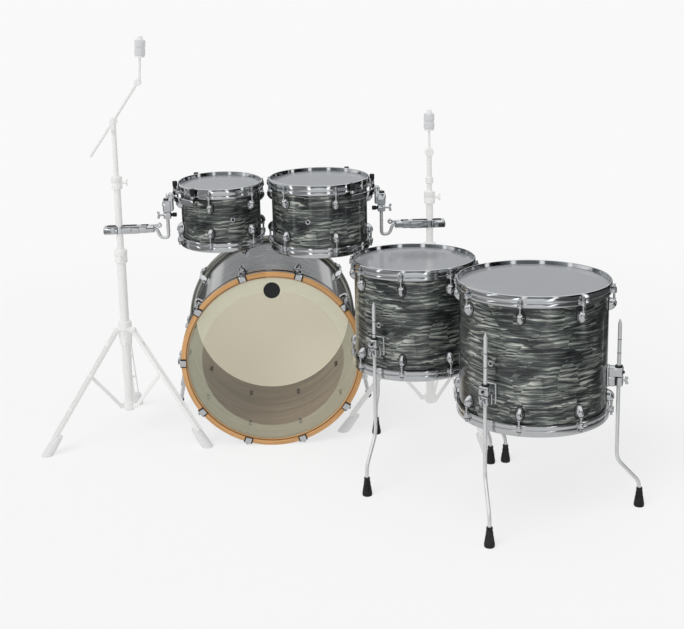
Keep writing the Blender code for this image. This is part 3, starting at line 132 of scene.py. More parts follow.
bpy.ops.mesh.primitive_plane_add(size=FLOOR_SIZE, location=(0, 0, 0))
floor = bpy.context.object
floor.name = "studio_floor"
floor_paint, tree, out = new_material("white_studio_floor")
place = add(tree, "ShaderNodeTexCoord").outputs["Object"]
away = add(tree, "ShaderNodeVectorMath", {0: place}, operation="LENGTH").outputs["Value"]
edge = add(tree, "ShaderNodeMapRange", {"Value": away, "From Min": FLOOR_NEAR, "From Max": FLOOR_FAR},
           interpolation_type="SMOOTHSTEP").outputs["Result"]
matt = add(tree, "ShaderNodeBsdfDiffuse", {"Color": linear("#e9e9e9")})
glow = add(tree, "ShaderNodeEmission", {"Color": BACKGROUND, "Strength": 1.0})
part_glow = add(tree, "ShaderNodeMixShader", {0: FLOOR_GLOW, 1: matt.outputs[0], 2: glow.outputs[0]})
seen = add(tree, "ShaderNodeMixShader", {0: edge, 1: part_glow.outputs[0], 2: glow.outputs[0]})

# The near lamps stand on it as bright strips.
fade = fades(tree, place, (("right", "X", 1.00, 1.80, 1.0, 0.10),
                           ("left", "X", -1.70, -0.85, 0.35, 1.0),
                           ("back", "Y", 0.9, 1.9, 1.0, 0.10),
                           ("far", "Y", 6.0, 8.0, 0.0, 2.4),
                           ("near", "Y", -0.4, 0.4, 2.2, 0.0)))
strength = add(tree, "ShaderNodeMath", {0: fade["back"], 1: fade["far"]}, operation="ADD").outputs[0]
for share in (fade["right"], fade["left"]):
    strength = add(tree, "ShaderNodeMath", {0: strength, 1: share}, operation="MULTIPLY").outputs[0]
strips = light_strips(tree, place, -0.97, -0.84)
for share in (edge, fade["near"]):
    strips = add(tree, "ShaderNodeMath", {0: strips, 1: share}, operation="MULTIPLY").outputs[0]
strength = add(tree, "ShaderNodeMath", {0: strength, 1: strips}, operation="ADD").outputs[0]
tone = add(tree, "ShaderNodeValToRGB", {"Fac": edge}, [(0.0, "#cfcfcf"), (1.0, "#dfe1e2")])
mirrored = add(tree, "ShaderNodeEmission", {"Color": tone.outputs["Color"], "Strength": strength})
straight, glossy = ray_kinds(tree)
lit = add(tree, "ShaderNodeMixShader", {0: straight, 1: matt.outputs[0], 2: seen.outputs[0]})
shown = add(tree, "ShaderNodeMixShader", {0: glossy, 1: lit.outputs[0], 2: mirrored.outputs[0]})
tree.links.new(shown.outputs[0], out.inputs["Surface"])
floor.data.materials.append(floor_paint)

# Mirrored, the room is light overhead, at the horizon and ahead, dim behind the camera and dark to
# the right, with the lamps low on its near side. Places here are parts of the way looked in.
world = bpy.data.worlds.new("studio")
bpy.context.scene.world = world
world.use_nodes = True
tree = world.node_tree
tree.nodes.clear()
out = add(tree, "ShaderNodeOutputWorld")
way = add(tree, "ShaderNodeTexCoord").outputs["Generated"]
fade = fades(tree, way, (("ahead", "Y", -0.80, 0.10, 0.25, 1.0),
                         ("right", "X", 0.45, 0.72, 1.0, 0.0),
                         ("overhead", "Z", 0.35, 0.60, 0.0, 1.0),
                         ("wall", "Z", 0.28, 0.42, 0.45, 1.0),
                         ("horizon", "Z", 0.07, 0.13, 1.0, 0.0),
                         ("low", "Z", 0.40, 0.55, 1.0, 0.0),
                         ("near", "Y", 0.0, 0.2, 1.0, 0.0)))
bright = add(tree, "ShaderNodeMath", {0: fade["wall"], 1: fade["horizon"]}, operation="MAXIMUM").outputs[0]
for share in (fade["ahead"], fade["right"]):
    bright = add(tree, "ShaderNodeMath", {0: bright, 1: share}, operation="MULTIPLY").outputs[0]
bright = add(tree, "ShaderNodeMath", {0: bright, 1: fade["overhead"]}, operation="MAXIMUM").outputs[0]
room = add(tree, "ShaderNodeValToRGB", {"Fac": bright},
           [(0.0, "#101315"), (0.25, "#8c8f92"), (0.55, "#c6c8ca"), (1.0, "#fafafa")])
strips = light_strips(tree, way, -0.95, -0.78)
for share in (fade["low"], fade["near"]):
    strips = add(tree, "ShaderNodeMath", {0: strips, 1: share}, operation="MULTIPLY").outputs[0]
banded = add(tree, "ShaderNodeMix", {"Factor": strips, 6: room.outputs["Color"], 7: linear("#ffffff")},
             data_type="RGBA")
reflected = add(tree, "ShaderNodeBackground", {"Color": banded.outputs[2], "Strength": 1.0})
soft = add(tree, "ShaderNodeBackground", {"Color": linear("#ffffff"), "Strength": ROOM_LIGHT})
white = add(tree, "ShaderNodeBackground", {"Color": BACKGROUND, "Strength": 1.0})
straight, glossy = ray_kinds(tree)
some = add(tree, "ShaderNodeMixShader", {0: glossy, 1: soft.outputs[0], 2: reflected.outputs[0]})
every = add(tree, "ShaderNodeMixShader", {0: straight, 1: some.outputs[0], 2: white.outputs[0]})
tree.links.new(every.outputs[0], out.inputs["Surface"])


def sun(name, strength, spread, elevation, azimuth):
    """A broad distant lamp, which chrome doesn't mirror. Azimuth 0 shines from the camera's side, and
    a positive one from its right."""
    lamp = bpy.data.lights.new(name, "SUN")
    lamp.energy = strength
    lamp.angle = radians(spread)
    holder = bpy.data.objects.new(name, lamp)
    bpy.context.scene.collection.objects.link(holder)
    source = Vector((sin(radians(azimuth)) * cos(radians(elevation)),
                     -cos(radians(azimuth)) * cos(radians(elevation)), sin(radians(elevation))))
    holder.rotation_euler = source.to_track_quat("Z", "Y").to_euler()
    holder.visible_glossy = False


sun("key_light", strength=2.3, spread=40, elevation=38, azimuth=-38)
sun("top_light", strength=0.9, spread=70, elevation=78, azimuth=30)

# The camera's place, turn and shift come from a fit to the rims, feet and tubes in the photograph
CAMERA_PLACE = (0.07225, -3.4287, 1.4391)
CAMERA_PITCH = radians(11.116)
CAMERA_ROLL = radians(-1.19)
camera_data = bpy.data.cameras.new("camera")
camera = bpy.data.objects.new("camera", camera_data)
bpy.context.scene.collection.objects.link(camera)
camera_data.lens = 61.0
camera_data.sensor_width = 36.0
camera_data.shift_y = -0.138
camera_data.clip_end = 200.0
camera.matrix_world = (Matrix.Translation(CAMERA_PLACE)
                       @ Matrix.Rotation(pi / 2 - CAMERA_PITCH, 4, "X")
                       @ Matrix.Rotation(CAMERA_ROLL, 4, "Z"))
bpy.context.scene.camera = camera
bpy.context.scene.view_settings.view_transform = "Standard"

# The drum shells: bent wooden plies with a charcoal pearl film wrapped round the outside. Their
# edges are cut to a bevel, where the heads lie. All five are made alike, from their own sizes.


def turn(angle):
    return Matrix.Rotation(angle, 4, "Z")


def move(x, y, z):
    return Matrix.Translation((x, y, z))


FLIP = Matrix.Rotation(pi, 4, "X")


def middle_of(*nodes):
    """The middle of the box round CAD nodes."""
    lows, highs = zip(*[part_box(node) for node in nodes])
    return Vector([(min(low[k] for low in lows) + max(high[k] for high in highs)) / 2 for k in range(3)])


class Drum:
    """Sizes of one drum in metres. Its frame has its origin midway between its heads, +Z to its top."""

    def __init__(self, name, radius, edge, lug_count, first_lug, tilt, body, wall=0.006,
                 lug_from_edge=0.048, ends=("top", "bottom")):
        self.name = name
        self.radius = radius
        self.edge = edge
        self.wall = wall
        self.lug_angles = [radians(first_lug) + 2 * pi * k / lug_count for k in range(lug_count)]
        self.lug_from_edge = lug_from_edge
        self.ends = tuple(zip(ends, (1, -1)))
        self.matrix = Matrix.Translation(middle_of(*[f"{name}_{end}_head" for end in ends])) @ tilt
        self.body = body

    def spot(self, angle, end, out=0.0, down=0.0):
        """A place on the shell by one end. Its X points outwards, and its Z away from the middle."""
        here = self.matrix @ turn(angle) @ move(self.radius + out, 0, (self.edge - down) * end)
        return here @ FLIP if end < 0 else here


def leaning(heading, lean):
    """A rack tom's turn: it leans about the line from its stand."""
    return turn(heading) @ Matrix.Rotation(lean, 4, "X") @ turn(-heading)


INCH = 0.0254
UPRIGHT = Matrix.Identity(4)
SMALL_HEADING = radians(3.5)
SMALL_LEAN = radians(3.9)
LARGE_HEADING = radians(183.2)
LARGE_LEAN = radians(-2.1)
BASS_YAW = radians(3.26)
BASS_RISE = radians(2.29)
FLOOR16 = Drum("floor16", radius=8 * INCH, edge=7 * INCH, lug_count=8, first_lug=-108.5,
               tilt=UPRIGHT, body=ROOT)
FLOOR14 = Drum("floor14", radius=7 * INCH, edge=6 * INCH, lug_count=8, first_lug=-104.5,
               tilt=UPRIGHT, body=ROOT)
TOM12 = Drum("tom12", radius=6 * INCH, edge=4 * INCH, lug_count=6, first_lug=-131.0,
             tilt=leaning(LARGE_HEADING, LARGE_LEAN), body="tom12")
TOM10 = Drum("tom10", radius=5 * INCH, edge=3.5 * INCH, lug_count=6, first_lug=-99.5,
             tilt=leaning(SMALL_HEADING, SMALL_LEAN), body="tom10")
BASS = Drum("bass", radius=11 * INCH, edge=9 * INCH, lug_count=10, first_lug=72.0,
            tilt=turn(BASS_YAW) @ Matrix.Rotation(pi / 2 + BASS_RISE, 4, "X"), body=ROOT,
            wall=0.008, lug_from_edge=0.095, ends=("batter", "resonant"))
TOMS = [FLOOR16, FLOOR14, TOM12, TOM10]
ROUND = 128
SMOOTH_ANGLE = radians(35)


def deselect():
    bpy.ops.object.select_all(action="DESELECT")


def pick_points(piece, test):
    """Selects, in edit mode, the points whose places pass a test."""
    bpy.ops.object.mode_set(mode="OBJECT")
    mesh = piece.data
    for group in (mesh.vertices, mesh.edges, mesh.polygons):
        group.foreach_set("select", [False] * len(group))
    for vertex in mesh.vertices:
        vertex.select = test(vertex.co)
    bpy.ops.object.mode_set(mode="EDIT")
    bpy.ops.mesh.select_mode(type="VERT")


def lathe(name, outline, sides=ROUND, closed=False):
    """A circle pulled along an outline of (radius, height). A closed outline ends where it began,
    and any other is closed with flat ends."""
    deselect()
    radius, height = outline[0]
    bpy.ops.mesh.primitive_circle_add(vertices=sides, radius=radius, location=(0, 0, 0))
    piece = bpy.context.object
    piece.name = name
    bpy.ops.object.mode_set(mode="EDIT")
    bpy.ops.mesh.select_all(action="SELECT")
    bpy.ops.transform.translate(value=(0, 0, height))
    if not closed:
        bpy.ops.mesh.edge_face_add()
        bpy.ops.mesh.select_mode(type="EDGE")
    for (r0, z0), (r1, z1) in zip(outline, outline[1:]):
        bpy.ops.mesh.extrude_edges_move(TRANSFORM_OT_translate={"value": (0, 0, z1 - z0)})
        if r1 != r0:
            bpy.ops.transform.resize(value=(r1 / r0, r1 / r0, 1), center_override=(0, 0, z1))
    if not closed:
        bpy.ops.mesh.edge_face_add()
    bpy.ops.mesh.select_all(action="SELECT")
    if closed:
        bpy.ops.mesh.remove_doubles(threshold=0.00002)
    bpy.ops.mesh.normals_make_consistent(inside=False)
    bpy.ops.object.mode_set(mode="OBJECT")
    return piece


def put(piece, matrix):
    """Places a piece, with its place in its mesh."""
    piece.data.transform(matrix)
    piece.data.update()
    return piece


def copy_of(piece, matrix):
    made = piece.copy()
    made.data = piece.data.copy()
    bpy.context.scene.collection.objects.link(made)
    return put(made, matrix)


def discard(*pieces):
    for piece in pieces:
        bpy.data.meshes.remove(piece.data)


def joined(name, pieces):
    """Several solids as one piece."""
    deselect()
    for piece in pieces:
        piece.select_set(True)
    bpy.context.view_layer.objects.active = pieces[0]
    if len(pieces) > 1:
        bpy.ops.object.join()
    pieces[0].name = name
    pieces[0].data.name = name
    return pieces[0]


def fit(piece, body, finish, replaced=()):
    """Gives a finished piece its body, its finish where it has none, and the nodes it stands for."""
    deselect()
    piece.select_set(True)
    bpy.context.view_layer.objects.active = piece
    bpy.ops.object.shade_smooth_by_angle(angle=SMOOTH_ANGLE)
    if not piece.data.materials:
        piece.data.materials.append(finish)
    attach(piece, body)
    if replaced:
        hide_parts(*replaced)
    return piece


def paint(piece, *finishes):
    """Gives a piece several finishes. Its faces take the first one until they are told otherwise."""
    for finish in finishes:
        piece.data.materials.append(finish)
    return piece


def paint_where(piece, index, test):
    """Gives a finish, by its number, to the faces whose radius and height pass a test."""
    for face in piece.data.polygons:
        if test(hypot(face.center.x, face.center.y), face.center.z):
            face.material_index = index


def unroll(piece):
    """A UV map in metres: the way round the drum's axis, and the way along it."""
    mesh = piece.data
    layer = mesh.uv_layers.new(name="around")
    for face in mesh.polygons:
        corners = [mesh.vertices[mesh.loops[k].vertex_index].co for k in face.loop_indices]
        angles = [atan2(c.x, -c.y) for c in corners]
        if max(angles) - min(angles) > pi:
            angles = [a + 2 * pi if a < 0 else a for a in angles]
        for k, angle, corner in zip(face.loop_indices, angles, corners):
            radius = hypot(corner.x, corner.y)
            layer.data[k].uv = (angle * radius, corner.z + (radius if abs(face.normal.z) > 0.7 else 0))


def per_metre(size):
    """A pattern's scale from the real size of its features in millimetres."""
    return 1000.0 / size


def pearl_wrap():
    """Celluloid-look pearl film: pale folds lie across dark ground, in patches of about 60 mm set at
    angles, under a hard gloss. The folds are 3 to 8 mm apart, as on the real film."""
    made, tree, out = new_material("charcoal_pearl_film")
    around = add(tree, "ShaderNodeUVMap", uv_map="around").outputs["UV"]
    drift = add(tree, "ShaderNodeTexNoise", {"Vector": around, "Scale": per_metre(62.5), "Detail": 3.0,
                                             "Roughness": 0.55})
    bend = add(tree, "ShaderNodeVectorMath", {0: drift.outputs["Color"], 1: (0.5, 0.5, 0.5)},
               operation="SUBTRACT")
    bend = add(tree, "ShaderNodeVectorMath", {0: bend.outputs[0], "Scale": 0.010}, operation="SCALE")
    bent = add(tree, "ShaderNodeVectorMath", {0: around, 1: bend.outputs[0]}, operation="ADD").outputs[0]
    patches = add(tree, "ShaderNodeTexVoronoi", {"Vector": bent, "Scale": per_metre(58.824),
                                                 "Randomness": 1.0})
    lots = add(tree, "ShaderNodeSeparateColor", {"Color": patches.outputs["Color"]})
    parts = add(tree, "ShaderNodeSeparateXYZ", {"Vector": bent})
    slant = add(tree, "ShaderNodeMapRange", {"Value": lots.outputs["Red"], "To Min": -0.11, "To Max": 0.11})
    climb = add(tree, "ShaderNodeMath", {0: parts.outputs["X"], 1: slant.outputs[0]}, operation="MULTIPLY")
    height = add(tree, "ShaderNodeMath", {0: parts.outputs["Y"], 1: climb.outputs[0]}, operation="ADD")
    laid = add(tree, "ShaderNodeCombineXYZ", {"X": parts.outputs["X"], "Y": height.outputs[0]})
    wide = add(tree, "ShaderNodeMapping", {"Vector": laid.outputs[0],
                                           "Scale": (per_metre(133.33), per_metre(8), 1.0)})
    folds = add(tree, "ShaderNodeTexNoise", {"Vector": wide.outputs[0], "Scale": 1.0, "Detail": 5.0,
                                             "Roughness": 0.66, "Distortion": 0.25})
    thin = add(tree, "ShaderNodeMapping", {"Vector": laid.outputs[0], "Location": (3.1, 7.7, 0.0),
                                           "Scale": (per_metre(222.22), per_metre(17.857), 1.0)})
    creases = add(tree, "ShaderNodeTexNoise", {"Vector": thin.outputs[0], "Scale": 1.0, "Detail": 3.0,
                                               "Roughness": 0.5, "Distortion": 0.4})
    off = add(tree, "ShaderNodeMath", {0: creases.outputs["Fac"], 1: 0.5}, operation="SUBTRACT").outputs[0]
    off = add(tree, "ShaderNodeMath", {0: off}, operation="ABSOLUTE").outputs[0]
    line = add(tree, "ShaderNodeMapRange", {"Value": off, "From Min": 0.0, "From Max": 0.026,
                                            "To Min": 0.0, "To Max": 1.0}).outputs["Result"]
    broad = add(tree, "ShaderNodeTexNoise", {"Vector": around, "Scale": per_metre(90.91), "Detail": 2.0})
    lift = add(tree, "ShaderNodeMapRange", {"Value": lots.outputs["Green"], "To Min": -0.018,
                                            "To Max": 0.026})
    cloud = add(tree, "ShaderNodeMapRange", {"Value": broad.outputs["Fac"], "From Min": 0.3,
                                             "From Max": 0.7, "To Min": -0.055, "To Max": 0.055})
    level = folds.outputs["Fac"]
    for share in (lift, cloud):
        level = add(tree, "ShaderNodeMath", {0: level, 1: share.outputs[0]}, operation="ADD").outputs[0]
    colour = add(tree, "ShaderNodeValToRGB", {"Fac": level},
                 [(0.0, "#080a0c"), (0.39, "#15191c"), (0.48, "#3a403f"), (0.55, "#6d726d"),
                  (0.62, "#a9ada5"), (0.72, "#e4e7de")])
    dark = add(tree, "ShaderNodeMix", {"Factor": line, 6: linear("#101314"), 7: colour.outputs["Color"]},
               data_type="RGBA")
    # Painted shade: where the film turns away from the camera, at the shell's flanks, its colour is mixed
    # towards a dark blue-grey.
    turned = add(tree, "ShaderNodeLayerWeight", {"Blend": 0.5}).outputs["Facing"]
    turned = add(tree, "ShaderNodeMapRange", {"Value": turned, "From Min": 0.45, "From Max": 0.90,
                                              "To Min": 0.0, "To Max": 0.75}).outputs["Result"]
    shaded = add(tree, "ShaderNodeMix", {"Factor": turned, 6: dark.outputs[2], 7: linear("#15181d")},
                 data_type="RGBA")
    relief = add(tree, "ShaderNodeBump", {"Height": folds.outputs["Fac"], "Strength": 0.10,
                                          "Distance": 0.0006})
    shader = add(tree, "ShaderNodeBsdfPrincipled", {
        "Base Color": shaded.outputs[2], "Roughness": 0.36, "Metallic": 0.35, "Coat Weight": 1.0,
        "Coat Roughness": 0.05, "Normal": relief.outputs[0]})
    tree.links.new(shader.outputs[0], out.inputs["Surface"])
    return made


def ply(name, pale, dark, rough):
    """Lacquered bent plies: grain runs round the drum, its figure 2 to 4 mm wide, with a broad flame."""
    made, tree, out = new_material(name)
    around = add(tree, "ShaderNodeUVMap", uv_map="around").outputs["UV"]
    wide = add(tree, "ShaderNodeMapping", {"Vector": around,
                                           "Scale": (per_metre(200), per_metre(3.846), 1.0)})
    grain = add(tree, "ShaderNodeTexNoise", {"Vector": wide.outputs[0], "Scale": 1.0, "Detail": 5.0,
                                             "Roughness": 0.6, "Distortion": 0.5})
    broad = add(tree, "ShaderNodeMapping", {"Vector": around,
                                            "Scale": (per_metre(333.33), per_metre(41.667), 1.0)})
    flame = add(tree, "ShaderNodeTexNoise", {"Vector": broad.outputs[0], "Scale": 1.0, "Detail": 2.0})
    both = add(tree, "ShaderNodeMath", {0: grain.outputs["Fac"], 1: flame.outputs["Fac"]},
               operation="ADD").outputs[0]
    half = add(tree, "ShaderNodeMath", {0: both, 1: 0.5}, operation="MULTIPLY").outputs[0]
    colour = add(tree, "ShaderNodeValToRGB", {"Fac": half}, [(0.36, dark), (0.60, pale)])
    relief = add(tree, "ShaderNodeBump", {"Height": grain.outputs["Fac"], "Strength": 0.08,
                                          "Distance": 0.0004})
    shader = add(tree, "ShaderNodeBsdfPrincipled", {
        "Base Color": colour.outputs["Color"], "Roughness": rough, "Coat Weight": 0.3,
        "Coat Roughness": 0.15, "Normal": relief.outputs[0]})
    tree.links.new(shader.outputs[0], out.inputs["Surface"])
    return made


wrap_film = pearl_wrap()
inner_ply = ply("birch_plies", "#94826d", "#6d5e4e", 0.45)
for drum in TOMS + [BASS]:
    inside = drum.radius - drum.wall
    outside = drum.radius
    e = drum.edge
    outline = [(inside, -e + 0.0045), (outside - 0.0020, -e), (outside - 0.0010, -e), (outside, -e + 0.0010),
               (outside, e - 0.0010), (outside - 0.0010, e), (outside - 0.0020, e), (inside, e - 0.0045),
               (inside, -e + 0.0045)]
    shell = lathe(f"{drum.name}_wrapped_shell", outline, closed=True)
    paint(shell, wrap_film, inner_ply)
    paint_where(shell, 1, lambda radius, height: radius < outside - 0.0012)
    unroll(shell)
    put(shell, drum.matrix)
    fit(shell, drum.body, wrap_film, [f"{drum.name}_shell"])

# The drumheads: a polyester film on a crimped aluminium hoop that slips over the shell's edge. The
# toms' tops are frosted, the bottoms clear. The bass drum's near head is clear with a frosted ring round
# its edge, and its far one cream.


def film(name, hex_colour, rough, alpha, mottle, through=0.0):
    """Polyester film. A frosted coat scatters light in specks of about 1 mm; a clear one is a thin,
    slightly milky gloss. Through is the strength of a glow in the film's own colour: painted light that
    stands for the light shining through it from the room behind."""
    made, tree, out = new_material(name)
    place = add(tree, "ShaderNodeTexCoord").outputs["Object"]
    specks = add(tree, "ShaderNodeTexNoise", {"Vector": place, "Scale": per_metre(1.1111), "Detail": 2.0})
    cloud = add(tree, "ShaderNodeTexNoise", {"Vector": place, "Scale": per_metre(142.86), "Detail": 3.0})
    shade = add(tree, "ShaderNodeMapRange", {"Value": cloud.outputs["Fac"], "From Min": 0.3, "From Max": 0.7,
                                             "To Min": 1.0 - mottle, "To Max": 1.0 + mottle})
    tint = add(tree, "ShaderNodeMix", {"Factor": 1.0, 6: linear(hex_colour), 7: shade.outputs[0]},
               data_type="RGBA", blend_type="MULTIPLY")
    grit = add(tree, "ShaderNodeMapRange", {"Value": specks.outputs["Fac"], "To Min": rough * 0.85,
                                            "To Max": rough * 1.15})
    relief = add(tree, "ShaderNodeBump", {"Height": specks.outputs["Fac"], "Strength": 0.15 * rough,
                                          "Distance": 0.0002})
    # Painted light: the film glows in its own colour at the strength given as through.
    shader = add(tree, "ShaderNodeBsdfPrincipled", {
        "Base Color": tint.outputs[2], "Roughness": grit.outputs[0], "Alpha": alpha,
        "Emission Color": linear(hex_colour), "Emission Strength": through, "Normal": relief.outputs[0]})
    tree.links.new(shader.outputs[0], out.inputs["Surface"])
    return made


def metal(name, hex_colour, rough, wear, marks_size, metallic=1.0, glow=0.0):
    """Plated or bare metal: an even shine, with faint clouds of wiping marks in its roughness, of a size
    in millimetres. Glow stands for the glare of a bright backdrop."""
    made, tree, out = new_material(name)
    place = add(tree, "ShaderNodeTexCoord").outputs["Object"]
    marks = add(tree, "ShaderNodeTexNoise", {"Vector": place, "Scale": per_metre(marks_size),
                                             "Detail": 4.0, "Roughness": 0.65})
    uneven = add(tree, "ShaderNodeMapRange", {"Value": marks.outputs["Fac"], "From Min": 0.3, "From Max": 0.7,
                                              "To Min": max(rough - wear, 0.02), "To Max": rough + wear})
    pale = linear(hex_colour)
    dull = tuple(c * 0.88 for c in pale[:3]) + (1.0,)
    tone = add(tree, "ShaderNodeMix", {"Factor": marks.outputs["Fac"], 6: pale, 7: dull}, data_type="RGBA")
    relief = add(tree, "ShaderNodeBump", {"Height": marks.outputs["Fac"], "Strength": 0.02,
                                          "Distance": 0.0003})
    shader = add(tree, "ShaderNodeBsdfPrincipled", {
        "Base Color": tone.outputs[2], "Metallic": metallic, "Roughness": uneven.outputs[0],
        "Emission Color": pale, "Emission Strength": glow, "Normal": relief.outputs[0]})
    tree.links.new(shader.outputs[0], out.inputs["Surface"])
    return made


frosted_film = film("frosted_polyester_film", "#97999c", 0.12, 1.0, 0.02)
clear_film = film("clear_polyester_film", "#c9c8c2", 0.10, 0.045, 0.02)
# The cream head and the frosted ring glow a little in their own colours: painted light for light shining
# through them.
cream_film = film("cream_polyester_film", "#dfdac4", 0.42, 1.0, 0.015, through=0.52)
edge_film = film("frosted_ring_film", "#b6b9a6", 0.30, 0.19, 0.02, through=0.33)
crimped_aluminium = metal("crimped_aluminium", "#c9cbcd", 0.32, 0.06, 4.167)
RING_SHARE = 0.81
HEAD_MIDDLE = 0.02
for drum in TOMS + [BASS]:
    r = drum.radius
    e = drum.edge
    for label, end in drum.ends:
        if drum is BASS:
            finish = clear_film if end == 1 else cream_film
            slot = "clear_film" if end == 1 else "cream_film"
        else:
            finish = frosted_film if end == 1 else clear_film
            slot = "coated_film" if end == 1 else "clear_film"
        outline = [(HEAD_MIDDLE, e + 0.0004), (r * RING_SHARE, e + 0.0004), (r - 0.0030, e + 0.0003),
                   (r + 0.0007, e - 0.0035), (r + 0.0009, e - 0.0090), (r + 0.0056, e - 0.0090),
                   (r + 0.0060, e - 0.0084), (r + 0.0060, e + 0.0006), (r + 0.0054, e + 0.0012),
                   (r + 0.0022, e + 0.0012), (r + 0.0016, e - 0.0006), (r + 0.0002, e - 0.0008),
                   (r - 0.0016, e + 0.0006), (r - 0.0040, e + 0.0011), (r * RING_SHARE, e + 0.0013),
                   (HEAD_MIDDLE, e + 0.0013)]
        head = lathe(f"{drum.name}_{label}_drumhead", [(p, q * end) for p, q in outline])
        paint(head, finish, crimped_aluminium, edge_film)
        if drum is BASS and end == 1:
            paint_where(head, 2, lambda radius, height: radius > r * RING_SHARE)
        paint_where(head, 1, lambda radius, height: radius > r + 0.0010)
        put(head, drum.matrix)
        fit(head, drum.body, finish, [f"{drum.name}_{label}_head"])

# The toms' die-cast hoops: zinc cast in one with its ears, then chromed. A groove runs round the
# outside between an upper and a lower band.

chrome = metal("bright_chrome_plate", "#dcdee0", 0.09, 0.025, 16.667)


def block(name, low, high, bevel=0.0008, steps=2):
    """A cube stretched between two corners, its edges rounded."""
    deselect()
    middle = [(a + b) / 2 for a, b in zip(low, high)]
    bpy.ops.mesh.primitive_cube_add(size=1.0, location=(0, 0, 0))
    piece = bpy.context.object
    piece.name = name
    bpy.ops.object.mode_set(mode="EDIT")
    bpy.ops.transform.resize(value=[b - a for a, b in zip(low, high)])
    bpy.ops.transform.translate(value=middle)
    bpy.ops.mesh.bevel(offset=bevel, segments=steps, affect="EDGES")
    bpy.ops.object.mode_set(mode="OBJECT")
    return piece


ROD_OUT = 0.0135
ALONG_X = Matrix.Rotation(pi / 2, 4, "Y")
ALONG_Y = Matrix.Rotation(pi / 2, 4, "X")
OUTWARDS = (1, 0, 0)
UPWARDS = (0, 0, 1)


def along(origin, way, up):
    """A frame whose Z runs along a way and whose X leans towards up."""
    z_axis = Vector(way).normalized()
    x_axis = (Vector(up) - z_axis * Vector(up).dot(z_axis)).normalized()
    made = Matrix((x_axis, z_axis.cross(x_axis), z_axis)).transposed().to_4x4()
    made.translation = Vector(origin)
    return made


# One ear: its origin is on the rod's line at the level of the shell's edge
ear_parts = [lathe("ear", [(0.0052, -0.0178), (0.0062, -0.0170), (0.0068, -0.0150), (0.0068, -0.0052),
                           (0.0060, -0.0036), (0.0048, -0.0030)], 24),
             block("ear_web", (-0.0068, -0.0080, -0.0165), (0.0010, 0.0080, -0.0040), 0.0014)]
ear = joined("ear", ear_parts)
for drum in TOMS:
    r = drum.radius
    e = drum.edge
    for label, end in drum.ends:
        outline = [(r + 0.0016, e + 0.0016), (r + 0.0033, e + 0.0105), (r + 0.0036, e + 0.0123),
                   (r + 0.0042, e + 0.0132), (r + 0.0052, e + 0.0135), (r + 0.0066, e + 0.0130),
                   (r + 0.0074, e + 0.0115), (r + 0.0079, e + 0.0070), (r + 0.0080, e + 0.0015),
                   (r + 0.0078, e - 0.0030), (r + 0.0074, e - 0.0048), (r + 0.0068, e - 0.0052),
                   (r + 0.0068, e - 0.0064), (r + 0.0075, e - 0.0069), (r + 0.0079, e - 0.0090),
                   (r + 0.0080, e - 0.0130), (r + 0.0078, e - 0.0165), (r + 0.0073, e - 0.0178),
                   (r + 0.0066, e - 0.0180), (r + 0.0063, e - 0.0174), (r + 0.0063, e + 0.0016),
                   (r + 0.0016, e + 0.0016)]
        band = lathe("band", [(p, q * end) for p, q in outline], closed=True)
        ears = [copy_of(ear, drum.spot(angle, end, out=ROD_OUT)) for angle in drum.lug_angles]
        hoop = joined(f"{drum.name}_{label}_cast_hoop", [put(band, drum.matrix)] + ears)
        fit(hoop, drum.body, chrome, [f"{drum.name}_{label}_hoop"])
discard(ear)

# The toms' tension rods: steel screws with a square head on a washer, one in each ear, down to its
# lug. A black nylon washer under the steel one keeps it quiet.

rod_steel = metal("chromed_steel_rod", "#d0d2d4", 0.16, 0.04, 11.111)

# Moulded nylon is a dull black with a fine grit
black_nylon, tree, out = new_material("black_nylon")
place = add(tree, "ShaderNodeTexCoord").outputs["Object"]
grain = add(tree, "ShaderNodeTexNoise", {"Vector": place, "Scale": per_metre(1.4286), "Detail": 3.0})
rough = add(tree, "ShaderNodeMapRange", {"Value": grain.outputs["Fac"], "To Min": 0.42, "To Max": 0.62})
tone = add(tree, "ShaderNodeValToRGB", {"Fac": grain.outputs["Fac"]}, [(0.3, "#0c0c0d"), (0.7, "#1b1b1c")])
relief = add(tree, "ShaderNodeBump", {"Height": grain.outputs["Fac"], "Strength": 0.15, "Distance": 0.0003})
shader = add(tree, "ShaderNodeBsdfPrincipled", {
    "Base Color": tone.outputs["Color"], "Roughness": rough.outputs[0], "Normal": relief.outputs[0]})
tree.links.new(shader.outputs[0], out.inputs["Surface"])

LUG_HALF_HEIGHT = 0.0165
LUG_TOP = LUG_HALF_HEIGHT - FLOOR16.lug_from_edge
rod_parts = [lathe("screw", [(0.0030, LUG_TOP), (0.0030, -0.0029), (0.0056, -0.0029), (0.0058, -0.0022),
                             (0.0058, -0.0014), (0.0042, -0.0012), (0.0042, 0.0004)], 16),
             block("square_head", (-0.0031, -0.0031, 0.0002), (0.0031, 0.0031, 0.0078), 0.0007)]
rod = joined("rod", rod_parts)
washer = lathe("washer", [(0.0060, -0.0031), (0.0066, -0.0029), (0.0066, -0.0023), (0.0060, -0.0021)], 16)
for drum in TOMS:
    rods = []
    washers = []
    for label, end in drum.ends:
        for angle in drum.lug_angles:
            spot = drum.spot(angle, end, out=ROD_OUT)
            rods.append(copy_of(rod, spot))
            washers.append(copy_of(washer, spot))
    fit(joined(f"{drum.name}_tension_rods", rods), drum.body, rod_steel)
    fit(joined(f"{drum.name}_nylon_washers", washers), drum.body, black_nylon)
discard(rod, washer)

# The lugs: a cast pod of zinc, chromed, that tapers away from its rod, on a black gasket. It takes
# the rod in a round nut at its flat end.


